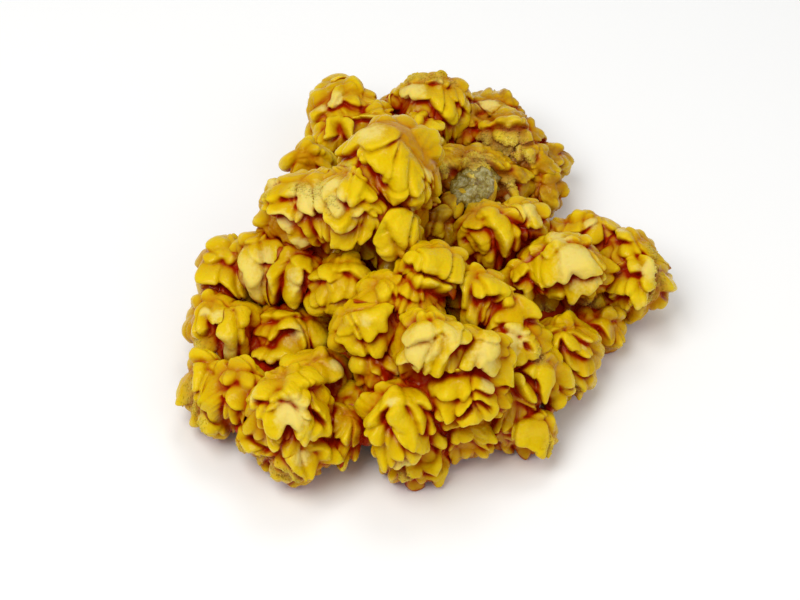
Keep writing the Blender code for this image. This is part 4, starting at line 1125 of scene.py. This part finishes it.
# The left lobe
# Upright panels of jelly side by side, dried pale on their faces, that fold over into a round belly at the
# right.
left_masses = (
    ((262, 268), 18.0, (8.0, 7.5, 10.0)),
    ((297, 276), 20.0, (6.5, 6.5, 9.0)),
    ((342, 288), 22.0, (7.5, 7.0, 8.5)),
)
left_folds = (
    ("top left", -0.5, (246, 240, 6), (257, 238, 6), (264, 230, 4)),
    ("pale panel", 1.0, (248, 258, 8), (257, 272, 10), (268, 287, 9), (274, 298, 7)),
    ("panel top", 0.6, (253, 250, 6), (264, 252, 7), (273, 257, 7)),
    ("panel ridge", 1.7, (274, 266, 4), (276, 282, 4), (275, 298, 4)),
    ("valley", -0.8, (288, 254, 5), (286, 276, 6), (288, 296, 6)),
    ("second panel", 0.6, (299, 262, 7), (295, 278, 8), (297, 293, 8)),
    ("hook ridge", 1.0, (304, 262, 5), (313, 268, 6), (324, 270, 6), (334, 274, 6)),
    ("hollow", -1.5, (310, 284, 7), (313, 292, 6)),
    ("right arch", 0.8, (339, 266, 4), (351, 267, 5), (361, 274, 6), (365, 286, 6)),
    ("belly", 0.8, (322, 292, 7), (337, 287, 8), (352, 289, 8)),
    ("lower belly", 0.8, (326, 302, 6), (342, 302, 8), (353, 302, 6)),
    ("under fold", -1.0, (333, 311, 6), (327, 318, 4)),
    ("under bump", -1.8, (312, 305, 6), (314, 307, 6)),
)
left_cream = ((254, 276, 21), (297, 280, 12), (265, 258, 10))
left_frost = ()
grow_lobe("left_lobe", left_masses, left_folds, left_cream, left_frost, 0.0)

# The far left lobe
# Two curled flaps of jelly, one over the other, that stand out at the far left. The low one has a pale dry
# ridge.
far_left_masses = (
    ((228, 272), 14.0, (7.4, 8.0, 8.4)),
    ((214, 326), 11.0, (7.0, 8.0, 9.0)),
    ((240, 330), 12.0, (4.5, 7.0, 8.0)),
)
far_left_folds = (
    ("top", -0.4, (209, 253, 7), (220, 249, 9), (232, 252, 8)),
    ("big fold", 1.0, (208, 270, 8), (223, 272, 8), (238, 280, 8), (247, 292, 7), (250, 303, 4)),
    ("left bump", 0.0, (207, 280, 7), (214, 288, 6)),
    ("valley", -1.4, (222, 292, 7), (236, 298, 7)),
    ("left flap", 0.0, (201, 307, 9), (198, 322, 10), (200, 338, 9), (207, 346, 7)),
    ("pale ridge", 1.2, (222, 314, 8), (230, 325, 8), (233, 340, 6), (233, 354, 5)),
    ("right wall", 0.2, (243, 310, 6), (242, 325, 6), (242, 341, 5), (246, 352, 4)),
    ("low left bump", 0.0, (219, 351, 4), (226, 357, 4)),
)
far_left_cream = ((230, 344, 12), (218, 318, 8), (205, 312, 6))
far_left_frost = ((200, 346, 8),)
grow_lobe("far_left_lobe", far_left_masses, far_left_folds, far_left_cream, far_left_frost, 0.1)

# The inner left lobe
# A small shaded lobe of curled jelly between the far left and the front left, wet and amber throughout.
inner_left_masses = (
    ((285, 335), 10.0, (9.0, 8.0, 8.0)),
    ((317, 336), 10.0, (5.0, 6.0, 7.0)),
    ((275, 356), 9.0, (7.0, 5.0, 4.5)),
)
inner_left_folds = (
    ("back wall", -0.5, (262, 312, 9), (280, 312, 9), (298, 311, 7)),
    ("left wall", -0.5, (259, 328, 8), (266, 340, 6)),
    ("shaded fold", 0.8, (272, 338, 5), (282, 329, 6), (294, 327, 6), (301, 337, 6), (303, 347, 5)),
    ("dark round", 0.0, (315, 332, 9), (317, 344, 9)),
    ("leaf", 0.8, (258, 354, 5), (272, 357, 8), (289, 354, 6), (302, 352, 3)),
)
inner_left_cream = ((296, 333, 8),)
inner_left_frost = ()
# Its brown share is painted shade.
grow_lobe("inner_left_lobe", inner_left_masses, inner_left_folds, inner_left_cream, inner_left_frost, 0.3)

# The front left lobe
# The frilliest lobe: a flower of curled jelly in the middle, long folds above it and thin flaps round it that
# rest on the ground. The flaps' edges are frosted.
front_left_masses = (
    ((207, 386), 10.0, (5.8, 8.0, 8.2)),
    ((214, 417), 7.0, (4.0, 4.5, 5.0)),
    ((238, 394), 13.0, (7.0, 8.0, 9.0)),
    ((288, 412), 17.0, (10.0, 9.0, 11.0)),
    ((318, 378), 13.0, (8.0, 6.0, 8.0)),
    ((299, 452), 9.0, (8.8, 8.0, 8.0)),
    ((345, 431), 10.0, (6.0, 6.5, 7.5)),
    ((261, 441), 8.0, (5.8, 5.0, 5.6)),
)
front_left_folds = (
    ("far flap", 0.0, (199, 369, 8), (205, 384, 11), (210, 400, 11), (212, 417, 10), (212, 425, 8)),
    ("far rim", -1.0, (186, 384, 4), (192, 397, 4), (199, 410, 4)),
    ("inner slope", -1.5, (225, 370, 9), (227, 386, 8)),
    ("second slope", -0.6, (246, 374, 8), (247, 388, 7)),
    ("knuckle", 0.6, (232, 397, 6), (242, 397, 6), (252, 393, 4)),
    ("low knuckle", 0.0, (228, 410, 6), (239, 413, 7)),
    ("toe", -0.6, (240, 423, 5), (246, 428, 4)),
    ("hook", 1.0, (255, 408, 5), (256, 396, 6), (264, 387, 7), (274, 387, 6), (279, 394, 4)),
    ("long fold", 1.0, (291, 389, 8), (304, 379, 9), (318, 374, 8), (333, 367, 5)),
    ("long fold rim", -0.8, (322, 362, 3), (337, 366, 6), (346, 377, 6), (340, 389, 5)),
    ("bright knob", 1.6, (301, 396, 7), (301, 407, 8)),
    ("ring", 1.2, (316, 401, 6), (325, 409, 6), (325, 421, 5), (314, 427, 6)),
    ("cream fold", 2.2, (268, 413, 4), (275, 421, 5), (284, 414, 5),
     (294, 417, 6), (303, 428, 6), (312, 431, 4)),
    ("small crest", 1.4, (269, 405, 4), (276, 402, 4)),
    ("left lip", 0.5, (261, 424, 4), (269, 430, 5), (273, 437, 6)),
    ("low leaf", 0.6, (289, 445, 7), (300, 455, 8), (312, 466, 8)),
    ("right leaf", 0.0, (321, 445, 9), (330, 451, 7)),
    ("right flap", -0.4, (336, 424, 9), (346, 431, 9), (351, 440, 7)),
    ("low left flap", -0.8, (248, 440, 8), (261, 446, 8)),
    ("low rim", -1.4, (241, 449, 3), (253, 455, 4), (265, 460, 4)),
    ("bottom flap", -0.6, (275, 458, 8), (290, 465, 9), (298, 474, 6)),
    ("bottom right", -1.2, (327, 466, 6), (314, 474, 4)),
)
front_left_cream = ((290, 414, 17), (304, 432, 9), (255, 396, 8), (300, 458, 10), (336, 366, 7))
front_left_frost = (
    (186, 386, 9), (190, 404, 10), (203, 422, 10), (246, 456, 10), (266, 468, 10),
    (288, 476, 11),
)
grow_lobe("front_left_lobe", front_left_masses, front_left_folds, front_left_cream, front_left_frost, 0.1)

# The middle lobe
# A round knob of jelly at the top, tall folds below it and one large smooth leaf that hangs out at the left.
middle_masses = (
    ((429, 270), 30.0, (7.5, 6.5, 7.5)),
    ((384, 302), 27.0, (6.0, 6.5, 9.0)),
    ((366, 328), 26.0, (8.0, 6.5, 8.0)),
    ((416, 304), 28.0, (7.5, 6.5, 7.0)),
    ((378, 372), 20.0, (6.0, 6.0, 6.0)),
    ((396, 338), 24.0, (4.5, 5.0, 6.0)),
)
middle_folds = (
    ("knob", 1.5, (414, 256, 9), (426, 260, 11), (440, 262, 11), (451, 268, 9)),
    ("knob skirt", 0.9, (424, 276, 8), (437, 280, 9), (449, 282, 7)),
    ("knob base", 1.2, (429, 283, 8), (445, 285, 8)),
    ("knob side", -1.0, (409, 266, 7), (409, 277, 7)),
    ("tall fold", 0.8, (382, 285, 6), (380, 298, 7), (384, 310, 7)),
    ("tall fold, left", -1.2, (370, 298, 6), (367, 311, 6)),
    ("tall fold, right", 0.4, (392, 289, 5), (394, 304, 5)),
    ("big leaf", 0.9, (346, 334, 7), (356, 342, 8), (369, 343, 9), (381, 336, 8)),
    ("leaf ridge", 1.6, (386, 303, 5), (381, 315, 7), (371, 324, 7), (360, 326, 6)),
    ("leaf lip", 1.2, (345, 327, 4), (352, 322, 5), (360, 317, 4)),
    ("upper patch", 0.2, (400, 288, 4), (412, 291, 6), (423, 297, 5)),
    ("lower patch", 0.6, (404, 304, 6), (416, 308, 7), (430, 312, 6)),
    ("shade bead", -2.0, (440, 302, 6), (444, 310, 6)),
    ("strap", 0.4, (402, 323, 5), (398, 335, 5), (393, 348, 5), (392, 360, 5)),
    ("strap side", 0.0, (379, 346, 5), (387, 343, 3)),
    ("under leaf", -2.0, (367, 366, 8), (378, 364, 8), (388, 373, 7)),
)
middle_cream = ((416, 262, 6), (366, 322, 7))
middle_frost = ()
grow_lobe("middle_lobe", middle_masses, middle_folds, middle_cream, middle_frost, 0.0)

# The front lobe
# Three tiers of jelly: dry cream panels on top, an apron with a cup below, and a swirl whose skirt reaches
# the ground.
front_masses = (
    ((430, 348), 29.0, (9.0, 8.0, 10.0)),
    ((474, 358), 26.0, (8.0, 7.0, 8.5)),
    ((458, 394), 20.0, (11.0, 9.0, 10.0)),
    ((400, 424), 15.0, (9.5, 10.0, 13.0)),
    ((411, 465), 6.0, (5.2, 5.5, 6.0)),
    ((430, 455), 6.5, (4.4, 5.0, 6.0)),
    ((464, 432), 9.0, (7.0, 7.0, 8.0)),
    ((356, 402), 12.0, (4.5, 4.5, 5.0)),
)
front_folds = (
    ("cream panel", 1.0, (412, 334, 8), (424, 331, 9), (437, 329, 7)),
    ("panel face", 0.9, (415, 345, 9), (425, 352, 10), (427, 364, 7)),
    ("panel crease", 1.7, (432, 340, 4), (434, 352, 4), (432, 366, 4)),
    ("panel wing", 1.0, (446, 330, 9), (460, 334, 9)),
    ("panel ridge", 2.2, (456, 327, 4), (447, 338, 4), (443, 352, 4), (441, 366, 3)),
    ("panel toe", 1.2, (400, 358, 4), (411, 355, 4)),
    ("second panel", 0.8, (456, 362, 7), (470, 357, 9), (486, 352, 9), (493, 362, 6)),
    ("second panel top", 0.4, (478, 338, 5), (490, 340, 6)),
    ("apron", 0.2, (434, 388, 7), (452, 385, 9), (470, 384, 9), (488, 378, 8)),
    ("cup", 1.2, (464, 399, 4), (475, 396, 4), (488, 397, 4), (491, 406, 4), (480, 413, 5), (467, 412, 5)),
    ("cup floor", -0.6, (478, 404, 7), (480, 405, 7)),
    ("middle", 0.6, (418, 395, 8), (434, 400, 9), (450, 402, 8)),
    ("middle drop", 0.2, (431, 413, 8), (432, 423, 7)),
    ("outer swirl", 0.6, (394, 389, 6), (384, 399, 8), (375, 411, 10),
     (378, 428, 9), (385, 442, 8), (387, 456, 8)),
    ("inner swirl", 1.8, (393, 401, 5), (396, 414, 6), (403, 427, 6), (412, 437, 5), (421, 441, 4)),
    ("swirl heart", 0.4, (408, 397, 6), (414, 409, 7), (419, 421, 6)),
    ("skirt", 0.6, (398, 447, 9), (412, 450, 9), (424, 443, 6)),
    ("skirt hem", 0.2, (400, 461, 7), (414, 464, 8), (419, 470, 5)),
    ("skirt tip", 0.0, (375, 457, 4), (379, 461, 4)),
    ("bottom toe", -1.0, (404, 476, 8), (412, 478, 6)),
    ("shade", -2.2, (436, 447, 8), (440, 460, 5)),
    ("low right", -0.4, (446, 430, 8), (459, 435, 10), (469, 437, 8)),
    ("brown gap", -1.8, (482, 422, 8), (484, 428, 8)),
    ("finger", -0.6, (486, 440, 5), (489, 446, 6)),
    ("side bead", -1.0, (350, 400, 8), (358, 402, 7)),
)
front_cream = (
    (424, 348, 21), (449, 340, 15), (484, 358, 16), (488, 384, 11), (392, 403, 6),
    (402, 463, 12), (376, 418, 5),
)
front_frost = ((404, 478, 7),)
grow_lobe("front_lobe", front_masses, front_folds, front_cream, front_frost, 0.0)

# The front right lobe
# A chain of rounded jelly folds that steps down to the right, from an open cup at the top to a ball that
# rests on the ground.
front_right_masses = (
    ((482, 296), 25.0, (7.0, 6.5, 8.0)),
    ((508, 318), 22.0, (5.5, 5.5, 7.0)),
    ((516, 346), 19.0, (6.5, 7.0, 8.0)),
    ((536, 378), 14.0, (6.5, 6.5, 8.0)),
    ((506, 396), 13.0, (7.0, 7.0, 8.0)),
    ((532, 432), 7.0, (5.8, 5.3, 6.2)),
    ((556, 397), 9.0, (3.4, 4.0, 4.6)),
    ((500, 424), 8.0, (5.0, 6.0, 6.0)),
)
front_right_folds = (
    ("cup rim, left", 0.8, (466, 282, 6), (464, 297, 6), (468, 309, 6), (480, 312, 5), (487, 303, 4)),
    ("cup rim, top", 1.2, (475, 286, 5), (489, 285, 8), (502, 289, 7), (504, 300, 5)),
    ("small drop", 0.0, (491, 310, 6), (487, 321, 6)),
    ("shade drop", -1.6, (470, 322, 6), (474, 330, 5)),
    ("shoulder", 0.6, (502, 312, 7), (510, 318, 7), (519, 324, 6)),
    ("pale patch", 0.8, (511, 337, 8), (515, 350, 8)),
    ("ringlet", 0.4, (528, 332, 5), (533, 341, 5), (529, 349, 4)),
    ("saddle", 0.3, (504, 354, 6), (518, 358, 6)),
    ("pale tongue", 1.0, (505, 369, 5), (513, 364, 5)),
    ("ball", 0.6, (533, 367, 9), (544, 376, 9), (545, 389, 7)),
    ("frill", 0.8, (517, 373, 5), (523, 384, 6), (529, 393, 6)),
    ("frill toe", 0.2, (527, 401, 4), (537, 403, 4)),
    ("side bead", -0.6, (560, 391, 5), (556, 400, 5)),
    ("hollow", -2.0, (506, 390, 8), (506, 402, 8)),
    ("low fold", -0.2, (499, 424, 6), (514, 425, 6)),
    ("bottom ball", 0.4, (526, 430, 12), (539, 435, 12), (543, 445, 7)),
    ("ball shoulder", -0.4, (549, 412, 6), (553, 421, 5)),
    ("grain bead", -0.8, (540, 354, 4), (544, 358, 4)),
)
front_right_cream = ((515, 336, 13), (512, 352, 8), (509, 366, 7))
front_right_frost = ((541, 356, 8), (546, 446, 8))
grow_lobe(
    "front_right_lobe", front_right_masses, front_right_folds, front_right_cream, front_right_frost, 0.2
)

# The under right lobe
# A small lobe of upright rims and leaves of jelly in the shade of the right lobe, olive where little light
# reaches it.
under_right_masses = (
    ((564, 350), 11.0, (8.2, 7.5, 8.6)),
    ((572, 375), 7.5, (4.6, 4.5, 5.0)),
    ((588, 330), 6.5, (8.5, 6.0, 5.5)),
    ((607, 327), 7.0, (3.8, 4.5, 5.0)),
)
under_right_folds = (
    ("top ridge", 0.4, (540, 332, 5), (554, 325, 6), (565, 322, 5)),
    ("leaf", 0.2, (554, 340, 8), (563, 333, 7), (574, 340, 8)),
    ("heart", -0.8, (566, 355, 9), (575, 360, 8)),
    ("first rim", 0.4, (580, 330, 4), (590, 333, 4)),
    ("second rim", 0.4, (583, 345, 6), (591, 347, 4)),
    ("third rim", 0.2, (582, 364, 6), (589, 366, 5)),
    ("cup", 0.2, (566, 377, 5), (576, 374, 5), (582, 380, 5)),
    ("low rim", -0.2, (568, 388, 5), (577, 387, 5)),
    ("dark panel", -1.0, (600, 318, 9), (610, 332, 8), (600, 338, 7)),
)
under_right_cream = ((586, 345, 6),)
under_right_frost = ((572, 388, 8),)
# Its brown share is painted shade.
grow_lobe(
    "under_right_lobe", under_right_masses, under_right_folds, under_right_cream, under_right_frost, 0.45
)


# The ground and the light
# A plain pale floor under an even pale sky. A broad soft lamp at the upper left lights it, with a weaker one
# at the right, and one behind that brings out the wet skin.
FLOOR_SIZE = 3.0
floor_mesh = bpy.data.meshes.new("floor")
half = FLOOR_SIZE / 2
corners = [(-half, -half, 0), (half, -half, 0), (half, half, 0), (-half, half, 0)]
floor_mesh.from_pydata(corners, [], [(0, 1, 2, 3)])
floor = linked("floor", floor_mesh)
floor_finish = Finish("floor_finish")
floor_finish.set(Base_Color=(0.93, 0.93, 0.92), Roughness=0.7)
floor_mesh.materials.append(floor_finish.material)


def lamp(name, place, size, power):
    data = bpy.data.lights.new(name, "AREA")
    data.size = size
    data.energy = power
    piece = bpy.data.objects.new(name, data)
    turned = (-Vector(place)).to_track_quat("-Z", "Y").to_matrix().to_4x4()
    piece.matrix_world = Matrix.Translation(place) @ turned
    bpy.context.scene.collection.objects.link(piece)


lamp("key lamp", (-0.25, -0.20, 0.60), 0.45, 2.9)
lamp("fill lamp", (0.45, -0.30, 0.45), 0.5, 0.8)
lamp("glint lamp", (0.05, 0.30, 0.60), 0.25, 0.7)
sky = bpy.data.worlds.new("sky")
sky.use_nodes = True
sky.node_tree.nodes["Background"].inputs["Color"].default_value = (1.0, 1.0, 1.0, 1.0)
sky.node_tree.nodes["Background"].inputs["Strength"].default_value = 0.42
bpy.context.scene.world = sky
bpy.context.scene.view_settings.view_transform = "Standard"
